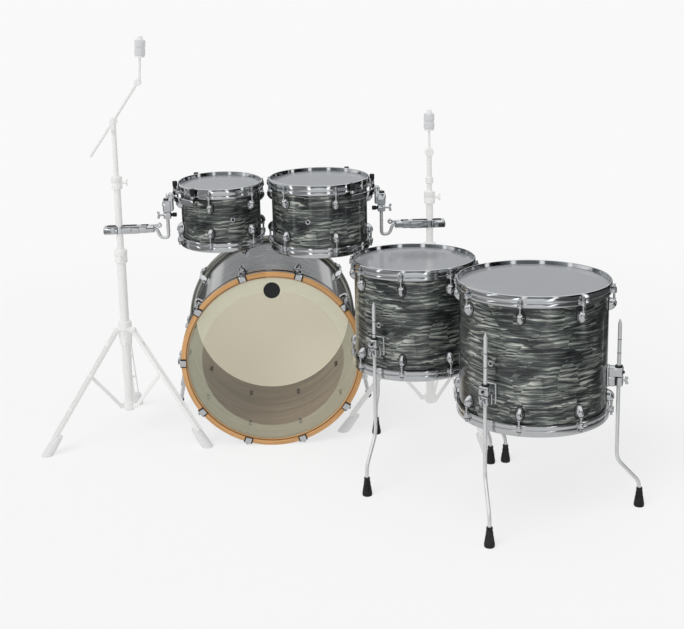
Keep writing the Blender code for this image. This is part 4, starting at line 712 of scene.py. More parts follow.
def pod(name, reach, half_width, half_height, taper):
    """A rounded pod that stands out along X from the shell, its flat end at +Z."""
    deselect()
    bpy.ops.mesh.primitive_uv_sphere_add(segments=28, ring_count=18, radius=1.0, location=(0, 0, 0))
    piece = bpy.context.object
    piece.name = name
    bpy.ops.object.mode_set(mode="EDIT")
    bpy.ops.mesh.select_all(action="SELECT")
    bpy.ops.transform.resize(value=(reach, half_width, half_height * 1.12))
    bpy.ops.transform.translate(value=(0, 0, -half_height * 0.02))
    bpy.ops.mesh.select_all(action="SELECT")
    bpy.ops.mesh.bisect(plane_co=(0, 0, half_height), plane_no=(0, 0, 1), clear_outer=True, use_fill=True)
    bpy.ops.mesh.select_all(action="SELECT")
    bpy.ops.mesh.bisect(plane_co=(-0.003, 0, 0), plane_no=(1, 0, 0), clear_inner=True, use_fill=True)
    for height in (0.35, 0.05, -0.25, -0.55):
        pick_points(piece, lambda place: place.z < half_height * height)
        bpy.ops.transform.resize(value=(taper, 0.97, 1), center_override=(0, 0, 0))
    bpy.ops.mesh.select_all(action="SELECT")
    bpy.ops.mesh.normals_make_consistent(inside=False)
    bpy.ops.object.mode_set(mode="OBJECT")
    return piece


def lug_set(drum, cast, gasket, chrome_name, gasket_name):
    """Copies of one lug round both ends of a drum."""
    casts = []
    gaskets = []
    for label, end in drum.ends:
        for angle in drum.lug_angles:
            spot = drum.spot(angle, end, down=drum.lug_from_edge)
            casts.append(copy_of(cast, spot))
            gaskets.append(copy_of(gasket, spot))
    fit(joined(chrome_name, casts), drum.body, chrome)
    fit(joined(gasket_name, gaskets), drum.body, black_nylon)


nut = lathe("nut", [(0.0048, 0.0130), (0.0048, 0.0158), (0.0042, 0.0164)], 20)
cast = joined("cast", [pod("pod", 0.0222, 0.0121, LUG_HALF_HEIGHT, 0.96), put(nut, move(ROD_OUT, 0, 0))])
gasket = pod("gasket", 0.0034, 0.0140, LUG_HALF_HEIGHT * 1.12, 1.0)
for drum in TOMS:
    lug_set(drum, cast, gasket, f"{drum.name}_cast_lugs", f"{drum.name}_lug_gaskets")
discard(cast, gasket)

# The bass drum's lugs are longer, and take a rod each from the claws on the wooden hoops.

CLAW_ROD_OUT = 0.0190
nut = lathe("nut", [(0.0058, 0.0180), (0.0058, 0.0212), (0.0050, 0.0222)], 20)
cast = joined("cast", [pod("pod", 0.0268, 0.0122, 0.0225, 0.96), put(nut, move(CLAW_ROD_OUT, 0, 0))])
gasket = pod("gasket", 0.0034, 0.0142, 0.0244, 1.0)
lug_set(BASS, cast, gasket, "bass_cast_lugs", "bass_lug_gaskets")
discard(cast, gasket)

# Inside the bass shell two dull steel screws on washers hold each lug. They show dark through the clear head,
# and their steel is given a dark brown-grey: partly painted shade for the inside of the shell.

screw_parts = []
for height in (-0.0110, 0.0110):
    screw = lathe("screw", [(0.0068, -0.0086), (0.0068, -0.0098), (0.0046, -0.0100), (0.0046, -0.0128),
                            (0.0038, -0.0134)], 16)
    screw_parts.append(put(screw, move(0, 0, height) @ ALONG_X))
screw_pair = joined("screw_pair", screw_parts)
screws = []
for label, end in BASS.ends:
    for angle in BASS.lug_angles:
        screws.append(copy_of(screw_pair, BASS.spot(angle, end, down=BASS.lug_from_edge)))
# Dull steel, painted darker as shade for the inside of the shell.
dull_and_shaded_steel = metal("shaded_screw_steel", "#5b524a", 0.50, 0.05, 8.333, metallic=0.5)
fit(joined("bass_lug_screws", screws), ROOT, dull_and_shaded_steel)
discard(screw_pair)

# Air vents: a chromed grommet through each tom's shell, with a black disc in it where the hole is: painted
# shade for the dark inside. Each vent's way round its shell and its height above the shell's middle are as
# the photograph shows them.

for drum, way_round, height in ((TOM10, -67.8, 0.0015), (TOM12, -103.2, -0.0005),
                                (FLOOR16, -132.1, -0.0041), (FLOOR14, -128.6, -0.0061)):
    ring = lathe(f"{drum.name}_vent_grommet", [(0.0040, 0.0002), (0.0044, 0.0014), (0.0062, 0.0018),
                                               (0.0082, 0.0011), (0.0086, -0.0012), (0.0040, -0.0012),
                                               (0.0040, 0.0002)], 32, closed=True)
    # Painted shade: a black disc inside the grommet stands for the dark hole.
    hole_shade = lathe(f"{drum.name}_vent_hole", [(0.0041, -0.0010), (0.0041, 0.0003)], 24)
    spot = drum.matrix @ turn(radians(way_round)) @ move(drum.radius, 0, height) @ ALONG_X
    fit(put(ring, spot), drum.body, chrome)
    fit(put(hole_shade, spot), drum.body, black_nylon)

# The bass drum's hoops: bent maple with rounded edges. Round the outside of each runs a dark inlay, a
# groove inside its lip is painted a darker maple as shade, and the far hoop is stained dark.

near_maple = ply("lacquered_maple", "#cfa06a", "#a97a45", 0.30)
painted_lip_shade = ply("shaded_maple", "#8f6032", "#6f4822", 0.35)
far_stain = ply("stained_maple", "#8d8d80", "#5d5e55", 0.30)
inlay = ply("dark_inlay", "#2b2723", "#171513", 0.25)
r = BASS.radius
e = BASS.edge
for (label, end), wood, slot in zip(BASS.ends, (near_maple, far_stain), ("maple_hoop", "dark_hoop")):
    outline = [(r - 0.0072, e + 0.0016), (r - 0.0075, e + 0.0054), (r - 0.0068, e + 0.0064),
               (r - 0.0050, e + 0.0064), (r - 0.0048, e + 0.0052), (r - 0.0030, e + 0.0052),
               (r - 0.0027, e + 0.0090), (r - 0.0014, e + 0.0100), (r + 0.0104, e + 0.0100),
               (r + 0.0120, e + 0.0094), (r + 0.0126, e + 0.0080), (r + 0.0126, e + 0.0050),
               (r + 0.0124, e + 0.0047), (r + 0.0124, e - 0.0210), (r + 0.0126, e - 0.0213),
               (r + 0.0126, e - 0.0240), (r + 0.0118, e - 0.0256), (r + 0.0104, e - 0.0260),
               (r + 0.0074, e - 0.0260), (r + 0.0066, e - 0.0250), (r + 0.0066, e + 0.0016),
               (r - 0.0072, e + 0.0016)]
    hoop = lathe(f"bass_{label}_wooden_hoop", [(p, q * end) for p, q in outline], closed=True)
    paint(hoop, wood, inlay, painted_lip_shade)
    # Painted shade: the groove inside the lip takes the darker shaded maple.
    paint_where(hoop, 2, lambda radius, height: r - 0.0049 < radius < r - 0.0028)
    paint_where(hoop, 1, lambda radius, height: radius > r + 0.0120
                and e - 0.0212 < abs(height) < e + 0.0048)
    unroll(hoop)
    put(hoop, BASS.matrix)
    fit(hoop, ROOT, wood, [f"bass_{label}_hoop"])

# The bass drum's claws: a chromed hook over the hoop with a rubber lining, drawn back by a rod with
# a black square head.

claw_parts = [block("plate", (-0.0030, -0.0102, 0.0112), (0.0165, 0.0102, 0.0140), 0.0010),
              block("side", (0.0138, -0.0102, -0.0290), (0.0168, 0.0102, 0.0132), 0.0010),
              block("ear", (0.0150, -0.0078, -0.0290), (0.0235, 0.0078, -0.0150), 0.0022, 3),
              block("web", (0.0150, -0.0036, -0.0200), (0.0205, 0.0036, 0.0080), 0.0014)]
claw = joined("claw", claw_parts)
rubber = joined("rubber", [block("lining", (-0.0036, -0.0138, 0.0101), (0.0150, 0.0138, 0.0120), 0.0004, 1),
                           block("side", (0.0127, -0.0136, -0.0282), (0.0144, 0.0136, 0.0108), 0.0004, 1)])
claw_rod = lathe("claw_rod", [(0.0032, -0.0722), (0.0032, -0.0145), (0.0056, -0.0145), (0.0056, -0.0125),
                              (0.0044, -0.0120), (0.0044, -0.0060)], 16)
key_head = block("key_head", (-0.0036, -0.0036, -0.0062), (0.0036, 0.0036, 0.0060), 0.0008)
for label, end in BASS.ends:
    sets = {"claws": [], "claw_linings": [], "claw_rods": [], "rod_heads": []}
    for angle in BASS.lug_angles:
        spot = BASS.spot(angle, end)
        sets["claws"].append(copy_of(claw, spot))
        sets["claw_linings"].append(copy_of(rubber, spot))
        sets["claw_rods"].append(copy_of(claw_rod, spot @ move(CLAW_ROD_OUT, 0, 0)))
        sets["rod_heads"].append(copy_of(key_head, spot @ move(CLAW_ROD_OUT, 0, 0)))
    for part, copies in sets.items():
        finish = {"claws": chrome, "claw_rods": rod_steel}.get(part, black_nylon)
        fit(joined(f"bass_{label}_{part}", copies), ROOT, finish)
discard(claw, rubber, claw_rod, key_head)

# A plain round black patch is stuck on the near bass head, just inside its top edge.

PATCH_RADIUS = 0.0264
PATCH_ABOVE_AXIS = 0.2297
PATCH_ASIDE = 0.0029
patch = lathe("bass_head_disc", [(PATCH_RADIUS - 0.0002, 0.0), (PATCH_RADIUS, 0.0002),
                                 (PATCH_RADIUS - 0.0002, 0.0005)], 64)
put(patch, BASS.matrix @ move(PATCH_ASIDE, PATCH_ABOVE_AXIS, BASS.edge + 0.0012))
fit(patch, ROOT, black_nylon)

# The floor toms' leg brackets: a chromed base and a two-part clamp block, which a wing screw draws
# together on the leg. A black memory ring sits on top of the block, and a black block in the slot
# between its two parts is painted shade.


def bar(name, points, radius, shares=None):
    """A round bar along points, bent from a curve. Shares give its radius at each point."""
    data = bpy.data.curves.new(name, "CURVE")
    data.dimensions = "3D"
    data.bevel_depth = radius
    data.bevel_resolution = 4
    data.use_fill_caps = True
    line = data.splines.new("POLY")
    line.points.add(len(points) - 1)
    for spot, point, share in zip(line.points, points, shares or [1.0] * len(points)):
        spot.co = (*point, 1.0)
        spot.radius = share
    piece = bpy.data.objects.new(name, data)
    bpy.context.scene.collection.objects.link(piece)
    deselect()
    piece.select_set(True)
    bpy.context.view_layer.objects.active = piece
    bpy.ops.object.convert(target="MESH")
    piece = bpy.context.object
    piece.name = name
    piece.data.name = name
    bpy.ops.object.mode_set(mode="EDIT")
    bpy.ops.mesh.select_all(action="SELECT")
    bpy.ops.mesh.remove_doubles(threshold=0.00001)
    bpy.ops.mesh.normals_make_consistent(inside=False)
    bpy.ops.object.mode_set(mode="OBJECT")
    return piece


def rounded(points, bend, steps=6):
    """A path with its corners rounded. Bend is how far before each corner the curve starts."""
    path = [Vector(points[0])]
    for before, corner, after in zip(points, points[1:], points[2:]):
        before, corner, after = Vector(before), Vector(corner), Vector(after)
        start = corner + (before - corner).normalized() * min(bend, (before - corner).length * 0.48)
        stop = corner + (after - corner).normalized() * min(bend, (after - corner).length * 0.48)
        for k in range(steps + 1):
            t = k / steps
            path.append(start * (1 - t) ** 2 + corner * 2 * t * (1 - t) + stop * t ** 2)
    path.append(Vector(points[-1]))
    return path


def wing(name, span, height, thick):
    """A wing nut's two ears round a boss, along Z."""
    left = block("ear", (-span, -thick, height * 0.15), (-span * 0.25, thick, height), thick * 0.8, 3)
    right = copy_of(left, Matrix.Rotation(pi, 4, "Z"))
    boss = lathe("boss", [(thick * 2.2, 0.0), (thick * 2.4, height * 0.2), (thick * 1.7, height * 0.75)], 20)
    return joined(name, [left, right, boss])


LEG_OUT = 0.0310
bracket_parts = [block("base", (-0.0006, -0.0170, -0.0280), (0.0060, 0.0170, 0.0280), 0.0024, 3),
                 block("upper", (0.0040, -0.0150, 0.0010), (0.0430, 0.0150, 0.0265), 0.0040, 4),
                 block("lower_back", (0.0040, -0.0150, -0.0265), (0.0230, 0.0150, 0.0030), 0.0030, 3),
                 block("lower_front", (0.0262, -0.0140, -0.0255), (0.0430, 0.0140, -0.0010), 0.0036, 4)]
bracket = joined("bracket", bracket_parts)
screw = lathe("screw", [(0.0038, 0.0), (0.0038, 0.0080), (0.0050, 0.0085)], 16)
screw_place = move(0.0420, 0, -0.0100) @ ALONG_X
handle = joined("handle", [put(wing("wing", 0.0130, 0.0100, 0.0024), move(0, 0, 0.0045)), screw])
put(handle, screw_place @ turn(radians(20)))
stop_knob = lathe("stop_knob", [(0.0042, -0.0010), (0.0042, 0.0028), (0.0034, 0.0038)], 20)
put(stop_knob, move(0.0430, 0, 0.0125) @ ALONG_X)
memory = lathe("memory", [(0.0054, 0.0266), (0.0098, 0.0266), (0.0106, 0.0274), (0.0106, 0.0306),
                          (0.0098, 0.0314), (0.0054, 0.0314), (0.0054, 0.0266)], 32, closed=True)
put(memory, move(LEG_OUT, 0, 0))
# Painted shade: a black block fills the slot between the two parts of the clamp block.
slot_shade_block = block("slot_shade_block", (0.0226, -0.0128, -0.0240), (0.0266, 0.0128, 0.0000), 0.0004, 1)
black_parts = joined("black_parts", [stop_knob, memory, slot_shade_block])

# A leg's path starts from its bracket: the straight run up and down, a bend out, and a foot. The
# bar is 10.5 mm chromed tube, pressed with stop marks, and its foot is a ribbed rubber boot.
LEG_RADIUS = 0.00525
MARK_RADIUS = LEG_RADIUS + 0.0002
LEG_TOP = 0.562
LEG_BEND = 0.162
FOOT_TOP = 0.056
leg_tube = metal("chromed_leg_tube", "#e4e5e6", 0.34, 0.05, 12.5, metallic=0.60)

# Moulded rubber is black and matt, with a fine grit and a little dust
boot_rubber, tree, out = new_material("black_moulded_rubber")
place = add(tree, "ShaderNodeTexCoord").outputs["Object"]
grain = add(tree, "ShaderNodeTexNoise", {"Vector": place, "Scale": per_metre(2.381), "Detail": 4.0})
dust = add(tree, "ShaderNodeTexNoise", {"Vector": place, "Scale": per_metre(28.571), "Detail": 3.0})
tone = add(tree, "ShaderNodeValToRGB", {"Fac": dust.outputs["Fac"]}, [(0.35, "#0d0d0e"), (0.75, "#232324")])
relief = add(tree, "ShaderNodeBump", {"Height": grain.outputs["Fac"], "Strength": 0.25, "Distance": 0.0004})
shader = add(tree, "ShaderNodeBsdfPrincipled", {"Base Color": tone.outputs["Color"], "Roughness": 0.62,
                                               "Normal": relief.outputs[0]})
tree.links.new(shader.outputs[0], out.inputs["Surface"])

boot = lathe("boot", [(0.0068, FOOT_TOP), (0.0080, 0.0556), (0.0086, 0.0540), (0.0088, 0.0480),
                      (0.0080, 0.0470), (0.0080, 0.0452), (0.0094, 0.0440), (0.0104, 0.0340),
                      (0.0098, 0.0330), (0.0098, 0.0312), (0.0112, 0.0300), (0.0134, 0.0150),
                      (0.0144, 0.0100), (0.0145, 0.0030), (0.0138, 0.0006), (0.0128, 0.0000)], 32)

# For each leg: its bracket's way round the drum, the bracket's height, how far the leg is turned in
# the bracket, and how far out its foot stands
for drum, legs in ((FLOOR14, ((-127, 0.426, 13.6, 0.0727), (6.0, 0.438, -29.0, 0.0785),
                              (120.5, 0.438, -25.6, 0.0680))),
                   (FLOOR16, ((-131, 0.390, 42.8, 0.0789), (-18.5, 0.400, 48.7, 0.0900),
                              (116.5, 0.400, -44.4, 0.0888)))):
    middle = drum.matrix.translation.z
    sets = {"leg_brackets": [], "wing_screws": [], "memory_rings": []}
    for count, (angle, height, twist, spread) in enumerate(legs, start=1):
        wall = drum.matrix @ turn(radians(angle)) @ move(drum.radius, 0, height - middle)
        sets["leg_brackets"].append(copy_of(bracket, wall))
        sets["wing_screws"].append(copy_of(handle, wall))
        sets["memory_rings"].append(copy_of(black_parts, wall))
        axis = wall @ move(LEG_OUT, 0, -height) @ turn(radians(twist))
        corners = [(0, 0, LEG_TOP - 0.014), (0, 0, LEG_BEND), (spread, 0, LEG_BEND - spread),
                   (spread, 0, 0.020)]
        path = [Vector((0, 0, LEG_TOP)), Vector((0, 0, LEG_TOP - 0.004))] + rounded(corners, 0.024)
        shares = [0.12, 0.45] + [1.0] * (len(path) - 2)
        leg = put(bar(f"{drum.name}_leg_{count}_bar", path, LEG_RADIUS, shares), axis)
        fit(leg, f"{drum.name}_leg_{count}", leg_tube, [f"{drum.name}_leg_{count}"])
        foot = copy_of(boot, axis @ move(spread, 0, 0))
        foot.name = f"{drum.name}_leg_{count}_boot"
        fit(foot, f"{drum.name}_leg_{count}", boot_rubber)
        marks = [lathe("mark", [(MARK_RADIUS, low), (MARK_RADIUS, low + 0.0016)], 16)
                 for low in (LEG_TOP - 0.058, LEG_TOP - 0.096)]
        fit(put(joined(f"{drum.name}_leg_{count}_stop_marks", marks), axis), f"{drum.name}_leg_{count}",
            black_nylon)
    for part, copies in sets.items():
        finish = {"leg_brackets": chrome, "wing_screws": chrome}.get(part, black_nylon)
        fit(joined(f"{drum.name}_{part}", copies), ROOT, finish)
discard(bracket, handle, black_parts, boot)

# The rack toms' suspension brackets: a bent plate that hangs on three rubber pads below the top
# hoop, with a cast block that slides on the holder's rod.

joint_places = {joint["name"]: Vector(joint["pos_m"]) for joint in frame["joints"] if "pos_m" in joint}
SMALL_PIVOT = joint_places["tom10_swivel"]
LARGE_PIVOT = joint_places["tom12_swivel"]
RACK = ((TOM10, SMALL_PIVOT, SMALL_HEADING, SMALL_LEAN), (TOM12, LARGE_PIVOT, LARGE_HEADING, LARGE_LEAN))
HOLDER_OUT = 0.0465
CASTING_LOW = 0.0840
PLATE_HALF_ANGLE = radians(58)
for drum, pivot, heading, lean in RACK:
    r = drum.radius
    e = drum.edge
    frame_here = Matrix.Translation(drum.matrix.translation) @ turn(heading) @ Matrix.Rotation(lean, 4, "X")
    inner = r + 0.0235
    start = pi + PLATE_HALF_ANGLE
    deselect()
    bpy.ops.mesh.primitive_plane_add(size=1.0, location=(0, 0, 0))
    plate = bpy.context.object
    bpy.ops.object.mode_set(mode="EDIT")
    bpy.ops.transform.resize(value=(0.0040, 0.0180, 1.0))
    bpy.ops.mesh.bevel(offset=0.0012, segments=3, affect="VERTICES")
    bpy.ops.object.mode_set(mode="OBJECT")
    put(plate, turn(start) @ move(inner + 0.0020, 0, e - 0.0290) @ ALONG_Y)
    bpy.ops.object.mode_set(mode="EDIT")
    bpy.ops.mesh.select_all(action="SELECT")
    bpy.ops.mesh.spin(steps=40, angle=2 * PLATE_HALF_ANGLE, center=(0, 0, 0), axis=(0, 0, 1))
    bpy.ops.mesh.select_all(action="SELECT")
    bpy.ops.mesh.remove_doubles(threshold=0.00001)
    bpy.ops.mesh.normals_make_consistent(inside=False)
    bpy.ops.object.mode_set(mode="OBJECT")
    rod_at = r + HOLDER_OUT
    arc_back = r + 0.0255
    high = e - 0.0460
    low = e - CASTING_LOW
    body = [block("block", (-rod_at - 0.0130, -0.0135, low), (-rod_at + 0.0125, 0.0135, high), 0.0034, 4),
            block("neck", (-rod_at + 0.0050, -0.0120, low + 0.0020), (-arc_back, 0.0120, e - 0.0240),
                  0.0040, 4),
            block("cap", (-rod_at - 0.0145, -0.0105, high - 0.0200), (-rod_at, 0.0105, high - 0.0060),
                  0.0030, 3)]
    cast = joined(f"{drum.name}_suspension_casting", [plate] + body)
    put(cast, frame_here)
    fit(cast, drum.body, chrome, [f"{drum.name}_suspension_bracket"])
    pads = []
    bolts = []
    for angle in (pi - radians(55), pi, pi + radians(55)):
        spot = frame_here @ turn(angle)
        low_pad, high_pad = e - 0.0290, e + 0.0150
        post = lathe("post", [(0.0066, low_pad), (0.0078, low_pad + 0.0020), (0.0080, e - 0.0190),
                              (0.0064, e - 0.0180), (0.0064, e - 0.0020), (0.0078, e - 0.0010),
                              (0.0080, high_pad - 0.0016), (0.0070, high_pad)], 28)
        pads.append(put(post, spot @ move(r + 0.0175, 0, 0)))
        bolt = lathe("bolt", [(0.0050, e - 0.0170), (0.0072, e - 0.0165), (0.0072, e - 0.0080),
                              (0.0050, e - 0.0072)], 24)
        bolts.append(put(bolt, spot @ move(r + 0.0175, 0, 0)))
    top_ring = lathe("top_ring", [(0.0060, high), (0.0104, high), (0.0110, high + 0.0010),
                                  (0.0110, high + 0.0038), (0.0100, high + 0.0046),
                                  (0.0060, high + 0.0046), (0.0060, high)], 28, closed=True)
    pads.append(put(top_ring, frame_here @ move(-rod_at, 0, 0)))
    fit(joined(f"{drum.name}_rubber_pads", pads), drum.body, boot_rubber)
    fit(joined(f"{drum.name}_pad_bolts", bolts), drum.body, chrome)

# The holder rods: 11 mm chromed bar, bent down, across and up to a point, with a cast stop collar
# that carries a wing bolt and a black knob. Each leans in its clamp.

HOLDER_RADIUS = 0.0055
CLAMP_END = 0.1120
HOLDER_BELOW = 0.0510
for drum, pivot, heading, lean in RACK:
    away = (drum.matrix.translation - pivot).to_2d().length
    short = away - drum.radius - HOLDER_OUT
    holder_frame = Matrix.Translation(pivot) @ turn(heading) @ Matrix.Rotation(lean, 4, "X")
    dip = -0.0320
    tip = 0.1160
    corners = [(CLAMP_END - 0.028, 0, 0), (CLAMP_END + 0.0080, 0, 0), (CLAMP_END + 0.0200, 0, dip),
               (short, 0, dip), (short, 0, tip - 0.020)]
    path = rounded(corners, 0.012, 8) + [Vector((short, 0, tip))]
    shares = [1.0] * (len(path) - 1) + [0.15]
    holder = put(bar(f"{drum.name}_holder_bar", path, HOLDER_RADIUS, shares), holder_frame)
    fit(holder, f"{drum.name}_holder", leg_tube, [f"{drum.name}_holder_rod"])
    top = HOLDER_BELOW + drum.edge - CASTING_LOW - 0.0003
    bottom = top - 0.0230
    middle = (top + bottom) / 2
    collar = block("collar", (short - 0.0120, -0.0120, bottom), (short + 0.0120, 0.0120, top), 0.0030, 3)
    arm = lathe("arm", [(0.0036, 0.0), (0.0036, 0.0160), (0.0046, 0.0165)], 16)
    put(arm, along((short - 0.0100, 0, middle), (-1, 0, 0), UPWARDS))
    ears = wing("wing", 0.0125, 0.0090, 0.0026)
    put(ears, along((short - 0.0240, 0, middle), (-1, 0, 0), UPWARDS))
    fit(put(joined(f"{drum.name}_stop_collar", [collar, arm, ears]), holder_frame), f"{drum.name}_holder",
        chrome)
    knob = lathe(f"{drum.name}_collar_knob", [(0.0052, 0.0), (0.0052, 0.0050), (0.0068, 0.0056),
                                              (0.0070, 0.0160), (0.0060, 0.0184)], 24)
    put(knob, holder_frame @ along((short + 0.0115, 0, middle), OUTWARDS, UPWARDS))
    fit(knob, f"{drum.name}_holder", black_nylon)

# The clamps: two long cast jaws, hinged at one end, that a bolt closes on the stand's tube. The far
# end is split round the holder's rod and ends in an eye.

for drum, pivot, heading, lean in RACK:
    clamp_frame = Matrix.Translation(pivot) @ turn(heading)
    front = block("front_jaw", (-0.0480, -0.0150, -0.0130), (0.0640, -0.0108, 0.0120), 0.0016, 3)
    back = block("back_jaw", (-0.0480, 0.0108, -0.0130), (0.0640, 0.0150, 0.0120), 0.0016, 3)
    cheek = lathe("cheek", [(0.0114, -0.0120), (0.0158, -0.0120), (0.0166, -0.0112), (0.0166, 0.0112),
                            (0.0158, 0.0120), (0.0114, 0.0120), (0.0114, -0.0120)], 40, closed=True)
    nose = block("nose", (-0.0500, -0.0150, -0.0110), (-0.0200, 0.0150, 0.0060), 0.0040, 4)
    body = block("body", (0.0180, -0.0125, -0.0125), (0.0900, 0.0125, 0.0125), 0.0036, 4)
    barrel = lathe("barrel", [(0.0062, 0.0), (0.0115, 0.0), (0.0130, 0.0020), (0.0130, 0.0260),
                              (0.0115, 0.0280), (0.0062, 0.0280), (0.0062, 0.0)], 32, closed=True)
    put(barrel, along((0.0840, 0, 0), OUTWARDS, UPWARDS))
    eye = lathe("eye", [(0.0034, -0.0085), (0.0070, -0.0085), (0.0078, -0.0078), (0.0078, 0.0078),
                        (0.0070, 0.0085), (0.0034, 0.0085), (0.0034, -0.0085)], 28, closed=True)
    put(eye, move(0.1290, 0, 0.0098) @ ALONG_Y)
    tongue = block("tongue", (0.1000, -0.0080, 0.0068), (0.1250, 0.0080, 0.0128), 0.0016, 3)
    bolts = []
    for x, z, radius in ((-0.0200, -0.0010, 0.0088), (0.0330, 0.0, 0.0072)):
        for way in (-1, 1):
            bolt = lathe("bolt", [(radius, 0.0), (radius, 0.0030), (radius * 0.8, 0.0048),
                                  (radius * 0.45, 0.0048), (radius * 0.40, 0.0036)], 28)
            bolts.append(put(bolt, along((x, way * 0.0125, z), (0, way, 0), UPWARDS)))
    cast = joined(f"{drum.name}_clamp_casting",
                  [front, back, nose, body, barrel, eye, tongue, cheek] + bolts)
    put(cast, clamp_frame)
    fit(cast, f"{drum.name}_clamp", chrome, [f"{drum.name}_clamp"])
    strips = joined(f"{drum.name}_clamp_grips", [
        block("strip", (-0.0380, -0.0090, 0.0105), (0.0560, 0.0090, 0.0138), 0.0012, 2),
        block("pad", (0.0700, -0.0070, 0.0118), (0.0940, 0.0070, 0.0139), 0.0009, 2)])
    fit(put(strips, clamp_frame), f"{drum.name}_clamp", black_nylon)

# The bass drum's spurs: a chromed tube that folds on a bracket screwed to the shell, with a leg that
# slides out of it to a rubber ball over a steel point.

BELOW_SIDE = radians(18)
SPUR_PIVOT_OUT = BASS.radius + 0.0330
SPUR_PIVOT_ALONG = BASS.edge - 0.1570
SPUR_SPREAD = 0.0420
SPUR_FORWARD = 0.1060
SPUR_TIP_RADIUS = 0.0040
bracket_parts = []
for side, label in ((-1, "left"), (1, "right")):
    pivot = Vector((SPUR_PIVOT_OUT * side * cos(BELOW_SIDE), -SPUR_PIVOT_OUT * sin(BELOW_SIDE),
                    -SPUR_PIVOT_ALONG))
    height = (BASS.matrix @ pivot).z
    tip_rise = SPUR_TIP_RADIUS * sin(atan2(hypot(SPUR_SPREAD, SPUR_FORWARD), height))
    drop = (height - tip_rise + SPUR_FORWARD * sin(BASS_RISE)) / cos(BASS_RISE)
    fall = Vector((side * SPUR_SPREAD, -drop, -SPUR_FORWARD))
    hinge = fall.cross(Vector((0, 0, 1))).normalized() * side
    length = fall.length
    down = BASS.matrix @ along(pivot, fall, hinge)
    tube_parts = [lathe("tube", [(0.0070, 0.0060), (0.0088, 0.0070), (0.0095, 0.0090), (0.0095, 0.1150),
                                 (0.0108, 0.1160), (0.0108, 0.1330), (0.0100, 0.1350), (0.0070, 0.1350)], 32)]
    pin = lathe("pin", [(0.0105, -0.0094), (0.0128, -0.0080), (0.0130, 0.0080), (0.0105, 0.0094)], 36)
    tube_parts.append(put(pin, ALONG_X))
    lock = wing("lock", 0.0110, 0.0085, 0.0022)
    tube_parts.append(put(lock, along((0.0070, 0, 0.1245), OUTWARDS, UPWARDS)))
    tube = put(joined(f"{label}_spur_sleeve", tube_parts), down)
    fit(tube, f"{label}_spur_tube", chrome, [f"{label}_spur_tube"])
    leg = lathe(f"{label}_spur_bar", [(0.0062, 0.0460), (0.0065, 0.0480), (0.0065, length - 0.0300)], 24)
    fit(put(leg, down), f"{label}_spur_leg", leg_tube, [f"{label}_spur_leg"])
    ball = lathe(f"{label}_spur_ball", [(0.0078, length - 0.0330), (0.0096, length - 0.0310),
                                        (0.0100, length - 0.0220), (0.0092, length - 0.0200),
                                        (0.0100, length - 0.0180), (0.0098, length - 0.0100),
                                        (0.0072, length - 0.0045), (0.0040, length - 0.0002)], 28)
    fit(put(ball, down), f"{label}_spur_leg", boot_rubber)
    angle = atan2(pivot.y, pivot.x)
    base = block("base", (BASS.radius - 0.0010, -0.0170, pivot.z - 0.0200),
                 (BASS.radius + 0.0070, 0.0170, pivot.z + 0.0200), 0.0026, 3)
    body = block("body", (BASS.radius + 0.0050, -0.0140, pivot.z - 0.0160),
                 (BASS.radius + 0.0180, 0.0140, pivot.z + 0.0160), 0.0040, 4)
    inward = -hinge if hinge.to_2d().dot(pivot.to_2d()) > 0 else hinge
    boss = lathe("boss", [(0.0100, 0.0), (0.0104, 0.0020), (0.0100, 0.0180)], 28)
    bracket_parts += [put(base, turn(angle)), put(body, turn(angle)),
                      put(boss, along(pivot + inward * 0.0098, inward, fall))]
fit(put(joined("bass_spur_brackets", bracket_parts), BASS.matrix), ROOT, chrome)

# The stands: pale satin-plated tubes, each with a tripod of two-rail legs on a sliding collar, thin
# braces to a fixed hub, light rubber feet and cast memory joints with wing screws. The photograph shows
# them nearly lost in the glare of the backdrop, so their finishes are matt and give off some light.

satin = metal("pale_satin_plate", "#a4a4a3", 0.50, 0.04, 40.0, metallic=0.0, glow=1.12)
pale_rubber, tree, out = new_material("pale_grey_rubber")
place = add(tree, "ShaderNodeTexCoord").outputs["Object"]
grain = add(tree, "ShaderNodeTexNoise", {"Vector": place, "Scale": per_metre(3.333), "Detail": 4.0})
tone = add(tree, "ShaderNodeValToRGB", {"Fac": grain.outputs["Fac"]}, [(0.35, "#848484"), (0.70, "#8d8d8d")])
relief = add(tree, "ShaderNodeBump", {"Height": grain.outputs["Fac"], "Strength": 0.2, "Distance": 0.0004})
shader = add(tree, "ShaderNodeBsdfPrincipled", {
    "Base Color": tone.outputs["Color"], "Roughness": 0.65, "Emission Color": tone.outputs["Color"],
    "Emission Strength": 1.75, "Normal": relief.outputs[0]})
tree.links.new(shader.outputs[0], out.inputs["Surface"])

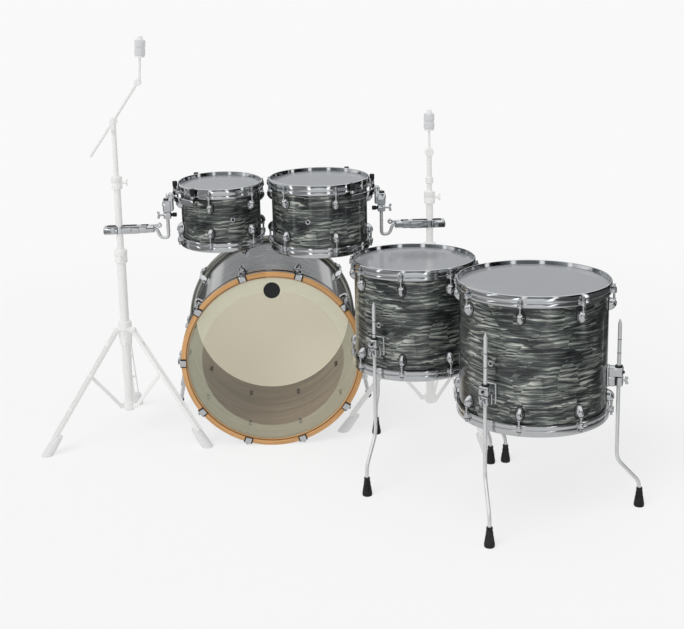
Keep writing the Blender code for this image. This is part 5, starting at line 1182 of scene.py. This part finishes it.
COLLAR_HEIGHT = 0.3650
HUB_HEIGHT = 0.1050
BASE_HIGH = 0.6000
FOOT_OUT = 0.2954
FOOT_TALL = 0.0560
COLLAR_OUT = 0.0320
COLLAR_HALF = 0.0280
HUB_OUT = 0.0290
BRACE_DOWN = 0.1660
LEFT_STAND = move(SMALL_PIVOT.x, SMALL_PIVOT.y, 0)
RIGHT_STAND = move(LARGE_PIVOT.x, LARGE_PIVOT.y, 0)
leg_drop = COLLAR_HEIGHT - FOOT_TALL * 0.25
slope = atan2(FOOT_OUT - COLLAR_OUT, leg_drop)
leg_length = hypot(FOOT_OUT - COLLAR_OUT, leg_drop)
stop_top = COLLAR_HEIGHT - COLLAR_HALF - 0.0003
low_hub = HUB_HEIGHT - 0.012
joint = BASE_HIGH - 0.008
for label, root, first in (("left", LEFT_STAND, -144.5), ("right", RIGHT_STAND, -176.0)):
    bearings = [radians(first) + 2 * pi * k / 3 for k in range(3)]
    tube = lathe("tube", [(0.0116, 0.0880), (0.0138, 0.0880), (0.0143, 0.0888), (0.0143, joint),
                          (0.0190, joint), (0.0203, joint + 0.0014), (0.0203, joint + 0.0180),
                          (0.0196, joint + 0.0190), (0.0196, joint + 0.0220), (0.0203, joint + 0.0230),
                          (0.0203, joint + 0.0400), (0.0190, joint + 0.0420), (0.0116, joint + 0.0420),
                          (0.0116, 0.0880)], 48, closed=True)
    hub = lathe("hub", [(0.0130, low_hub), (0.0176, low_hub), (0.0185, low_hub + 0.0012),
                        (0.0185, low_hub + 0.0228), (0.0176, low_hub + 0.024), (0.0130, low_hub + 0.024),
                        (0.0130, low_hub)], 48, closed=True)
    stop = lathe("stop", [(0.0130, stop_top - 0.022), (0.0190, stop_top - 0.022),
                          (0.0200, stop_top - 0.0208), (0.0200, stop_top - 0.0012), (0.0190, stop_top),
                          (0.0130, stop_top), (0.0130, stop_top - 0.022)], 48, closed=True)
    parts = [tube, hub, stop]
    for angle in bearings:
        lug_ear = block("ear", (0.0163, -0.0050, HUB_HEIGHT - 0.008),
                        (HUB_OUT + 0.0060, -0.0010, HUB_HEIGHT + 0.008), 0.0016, 3)
        parts.append(put(lug_ear, turn(angle)))
    screw_way = bearings[0] + pi / 3
    for height in (BASE_HIGH + 0.014, stop_top - 0.011):
        spot = turn(screw_way) @ along((0.0148, 0, height), OUTWARDS, UPWARDS)
        bolt = lathe("bolt", [(0.0060, 0.0), (0.0060, 0.0060), (0.0036, 0.0068), (0.0036, 0.0150)], 16)
        parts += [put(bolt, spot), put(wing("wing", 0.0110, 0.0085, 0.0022), spot @ move(0, 0, 0.0145))]
    base = put(joined(f"{label}_stand_base", parts), root)
    fit(base, ROOT, satin, [f"{label}_stand_base_tube"])
    ring = lathe("ring", [(0.0148, -COLLAR_HALF), (0.0205, -COLLAR_HALF), (0.0215, 0.0012 - COLLAR_HALF),
                          (0.0215, COLLAR_HALF - 0.0012), (0.0205, COLLAR_HALF), (0.0148, COLLAR_HALF),
                          (0.0148, -COLLAR_HALF)], 48, closed=True)
    parts = [ring]
    for angle in bearings:
        collar_ear = block("ear", (0.0175, -0.0045, -0.0100), (COLLAR_OUT + 0.0080, 0.0045, 0.0100),
                           0.0024, 3)
        parts.append(put(collar_ear, turn(angle)))
    spot = turn(screw_way) @ along((0.0185, 0, 0.010), OUTWARDS, UPWARDS)
    bolt = lathe("bolt", [(0.0060, 0.0), (0.0060, 0.0050), (0.0035, 0.0056), (0.0035, 0.0230)], 16)
    bar_handle = lathe("bar_handle", [(0.0034, -0.0198), (0.0044, -0.0186), (0.0044, 0.0186),
                                      (0.0034, 0.0198)], 16)
    parts += [put(bolt, spot), put(bar_handle, spot @ along((0, 0, 0.0230), (0, 1, 0), OUTWARDS))]
    collar = put(joined(f"{label}_stand_collar", parts), root @ move(0, 0, COLLAR_HEIGHT))
    fit(collar, f"{label}_leg_collar", satin, [f"{label}_stand_leg_collar"])
    for count, angle in enumerate(bearings, start=1):
        outward = root @ turn(angle)
        leg_frame = outward @ move(COLLAR_OUT, 0, COLLAR_HEIGHT) @ Matrix.Rotation(-slope, 4, "Y")
        rails = []
        foot_at = leg_length - FOOT_TALL
        for side in (1, -1):
            near, far = sorted((side * 0.0055, side * 0.0085))
            rails.append(block("rail", (-0.0065, near, -foot_at - 0.010), (0.0065, far, 0.0065), 0.0010, 2))
        rails.append(block("spacer", (-0.0055, -0.0065, -0.0600), (0.0055, 0.0065, -0.0450), 0.0010, 2))
        for down_leg in (0.0, 0.0525, BRACE_DOWN, 0.2900):
            rivet = lathe("rivet", [(0.0030, -0.0100), (0.0040, -0.0092), (0.0040, 0.0092),
                                    (0.0030, 0.0100)], 16)
            rails.append(put(rivet, move(0, 0, -down_leg) @ ALONG_Y))
        leg = put(joined(f"{label}_stand_leg_{count}_rails", rails), leg_frame)
        fit(leg, f"{label}_leg_{count}", satin, [f"{label}_stand_leg_{count}"])
        lean = Matrix.Identity(4)
        lean[0][2] = -tan(slope)
        foot = lathe("foot", [(0.0182, 0.0000), (0.0192, 0.0010), (0.0194, 0.0040), (0.0192, 0.0200),
                              (0.0178, 0.0400), (0.0166, 0.0500), (0.0150, 0.0545), (0.0120, 0.0560)], 40)
        put(foot, outward @ move(FOOT_OUT, 0, 0) @ lean)
        foot.name = f"{label}_stand_leg_{count}_foot"
        fit(foot, f"{label}_leg_{count}", pale_rubber)
        rise = COLLAR_HEIGHT - BRACE_DOWN * cos(slope) - HUB_HEIGHT
        reach = COLLAR_OUT + BRACE_DOWN * sin(slope) - HUB_OUT
        brace_frame = outward @ move(HUB_OUT, 0, HUB_HEIGHT) @ Matrix.Rotation(atan2(reach, rise), 4, "Y")
        long = hypot(rise, reach)
        strip = block("strip", (-0.0058, -0.0033, -0.0058), (0.0058, 0.0007, long + 0.0058), 0.0012, 2)
        pins = []
        for up_brace in (0.0, long):
            pin = lathe("pin", [(0.0026, -0.0010), (0.0034, -0.0002), (0.0034, 0.0040), (0.0026, 0.0046)], 16)
            pins.append(put(pin, move(0, 0, up_brace) @ ALONG_Y))
        brace = put(joined(f"{label}_stand_brace_{count}_strip", [strip] + pins), brace_frame)
        fit(brace, f"{label}_brace_{count}", satin, [f"{label}_stand_brace_{count}"])

# The stands' upper tubes: two thinner tubes in a cast joint. The left one ends in a fork for the
# boom arm, the right one in a knuckle and a straight cymbal rod. Felts wait on both rods.

MID_RADIUS = 0.0111
TOP_RADIUS = 0.0080

# Pressed wool felt is matt, with a fine fuzz of fibres. Its grey is made pale by a painted glow in its own
# colour, which stands for the glare of the backdrop
felt, tree, out = new_material("pale_wool_felt")
place = add(tree, "ShaderNodeTexCoord").outputs["Object"]
fibres = add(tree, "ShaderNodeTexNoise", {"Vector": place, "Scale": per_metre(1.5385), "Detail": 6.0,
                                          "Roughness": 0.7})
tone = add(tree, "ShaderNodeValToRGB", {"Fac": fibres.outputs["Fac"]}, [(0.30, "#828384"), (0.70, "#919293")])
relief = add(tree, "ShaderNodeBump", {"Height": fibres.outputs["Fac"], "Strength": 0.5, "Distance": 0.0006})
shader = add(tree, "ShaderNodeBsdfPrincipled", {
    "Base Color": tone.outputs["Color"], "Roughness": 0.95, "Sheen Weight": 0.3,
    "Emission Color": tone.outputs["Color"], "Emission Strength": 1.35, "Normal": relief.outputs[0]})
tree.links.new(shader.outputs[0], out.inputs["Surface"])


def cymbal_rod(label, felt_at, place, body):
    """A threaded rod with a washer, two felts and a nut."""
    parts = [lathe("rod", [(0.0040, -0.0040), (0.0040, felt_at - 0.006), (0.0146, felt_at - 0.006),
                           (0.0153, felt_at - 0.005), (0.0153, felt_at - 0.003),
                           (0.0146, felt_at - 0.002)], 32),
             lathe("nut", [(0.0100, felt_at + 0.0470), (0.0090, felt_at + 0.0500), (0.0080, felt_at + 0.0560),
                           (0.0080, felt_at + 0.0590), (0.0070, felt_at + 0.0600)], 32)]
    fit(put(joined(f"{label}_cymbal_rod", parts), place), body, satin)
    felts = [lathe("felt", [(0.0150, low), (0.0166, low + 0.0020), (0.0170, low + 0.0060),
                            (0.0170, low + 0.0185), (0.0166, low + 0.0225), (0.0150, low + 0.0245)], 40)
             for low in (felt_at - 0.0020, felt_at + 0.0235)]
    fit(put(joined(f"{label}_cymbal_felts", felts), place), body, felt)


def joint_collar(low):
    """The cast joint between the two upper tubes, with its hinged clamp and wing screw."""
    collar = lathe("collar", [(0.0100, low), (0.0166, low), (0.0175, low + 0.0012), (0.0175, low + 0.0170),
                              (0.0168, low + 0.0180), (0.0168, low + 0.0220), (0.0175, low + 0.0230),
                              (0.0175, low + 0.0388), (0.0166, low + 0.0400), (0.0100, low + 0.0400)], 48)
    spot = along((0.0150, 0, low + 0.020), OUTWARDS, UPWARDS)
    bolt = lathe("bolt", [(0.0058, 0.0), (0.0058, 0.0050), (0.0035, 0.0056), (0.0035, 0.0140)], 16)
    return [collar, put(bolt, spot), put(wing("wing", 0.0108, 0.0080, 0.0022), spot @ move(0, 0, 0.0125))]


BOOM_HEIGHT = 1.0520
TUBE_LOW = 0.4000
fork_low = BOOM_HEIGHT - 0.0370
parts = [lathe("mid", [(MID_RADIUS - 0.0006, TUBE_LOW), (MID_RADIUS, TUBE_LOW + 0.0010),
                       (MID_RADIUS, 0.8360)], 48),
         lathe("top", [(TOP_RADIUS, 0.8720), (TOP_RADIUS, BOOM_HEIGHT - 0.0310)], 40)] + joint_collar(0.8340)
parts.append(block("web", (-0.0060, -0.0140, fork_low), (0.0060, 0.0140, BOOM_HEIGHT - 0.0262), 0.0016, 3))
for side in (-1, 1):
    near, far = sorted((side * 0.0090, side * 0.0140))
    parts.append(block("cheek", (-0.0060, near, fork_low), (0.0060, far, BOOM_HEIGHT + 0.0130), 0.0016, 3))
fit(put(joined("left_stand_tubes", parts), LEFT_STAND), "left_upper_tube", satin,
    ["left_stand_upper_tube"])
pivot = LEFT_STAND @ move(0, 0, BOOM_HEIGHT)
ARM_END = (0.084, 0, 0.122)
arm_path = rounded([(-0.080, 0, -0.112), (-0.030, 0, -0.042), (0.030, 0, 0.044), ARM_END], 0.010)
arm_parts = [bar("arm", arm_path, 0.0050)]
knuckle = lathe("knuckle", [(0.0112, -0.0086), (0.0125, -0.0074), (0.0125, 0.0074), (0.0112, 0.0086)], 40)
arm_parts.append(put(knuckle, ALONG_Y))
tilter = lathe("tilter", [(0.0092, -0.0120), (0.0110, -0.0104), (0.0110, -0.0014), (0.0100, -0.0008),
                          (0.0100, 0.0008), (0.0110, 0.0014), (0.0110, 0.0104), (0.0092, 0.0120)], 36)
arm_parts.append(put(tilter, move(*ARM_END) @ ALONG_Y))
fit(put(joined("boom_arm_bar", arm_parts), pivot), "boom_arm", satin, ["left_stand_boom_arm"])
cymbal_rod("left", 0.0820, pivot @ move(0.0900, 0, 0.1240) @ Matrix.Rotation(radians(4), 4, "Y"), "boom_arm")

TILTER_HEIGHT = 0.9370
parts = [lathe("mid", [(MID_RADIUS - 0.0006, TUBE_LOW), (MID_RADIUS, TUBE_LOW + 0.0010),
                       (MID_RADIUS, 0.7660)], 48),
         lathe("top", [(TOP_RADIUS, 0.8020), (TOP_RADIUS, 0.9230)], 40),
         lathe("knuckle", [(0.0112, 0.8300), (0.0125, 0.8312), (0.0125, 0.8488), (0.0112, 0.8500)], 40)]
parts += joint_collar(0.7640)
tilter = lathe("tilter", [(0.0120, -0.0110), (0.0140, -0.0096), (0.0140, -0.0014), (0.0128, -0.0008),
                          (0.0128, 0.0008), (0.0140, 0.0014), (0.0140, 0.0096), (0.0120, 0.0110)], 40)
parts.append(put(tilter, move(0, 0, TILTER_HEIGHT - 0.006) @ ALONG_Y))
fit(put(joined("right_stand_tubes", parts), RIGHT_STAND), "right_upper_tube", satin,
    ["right_stand_upper_tube"])
cymbal_rod("right", 0.0700, RIGHT_STAND @ move(0, 0, TILTER_HEIGHT), "right_upper_tube")
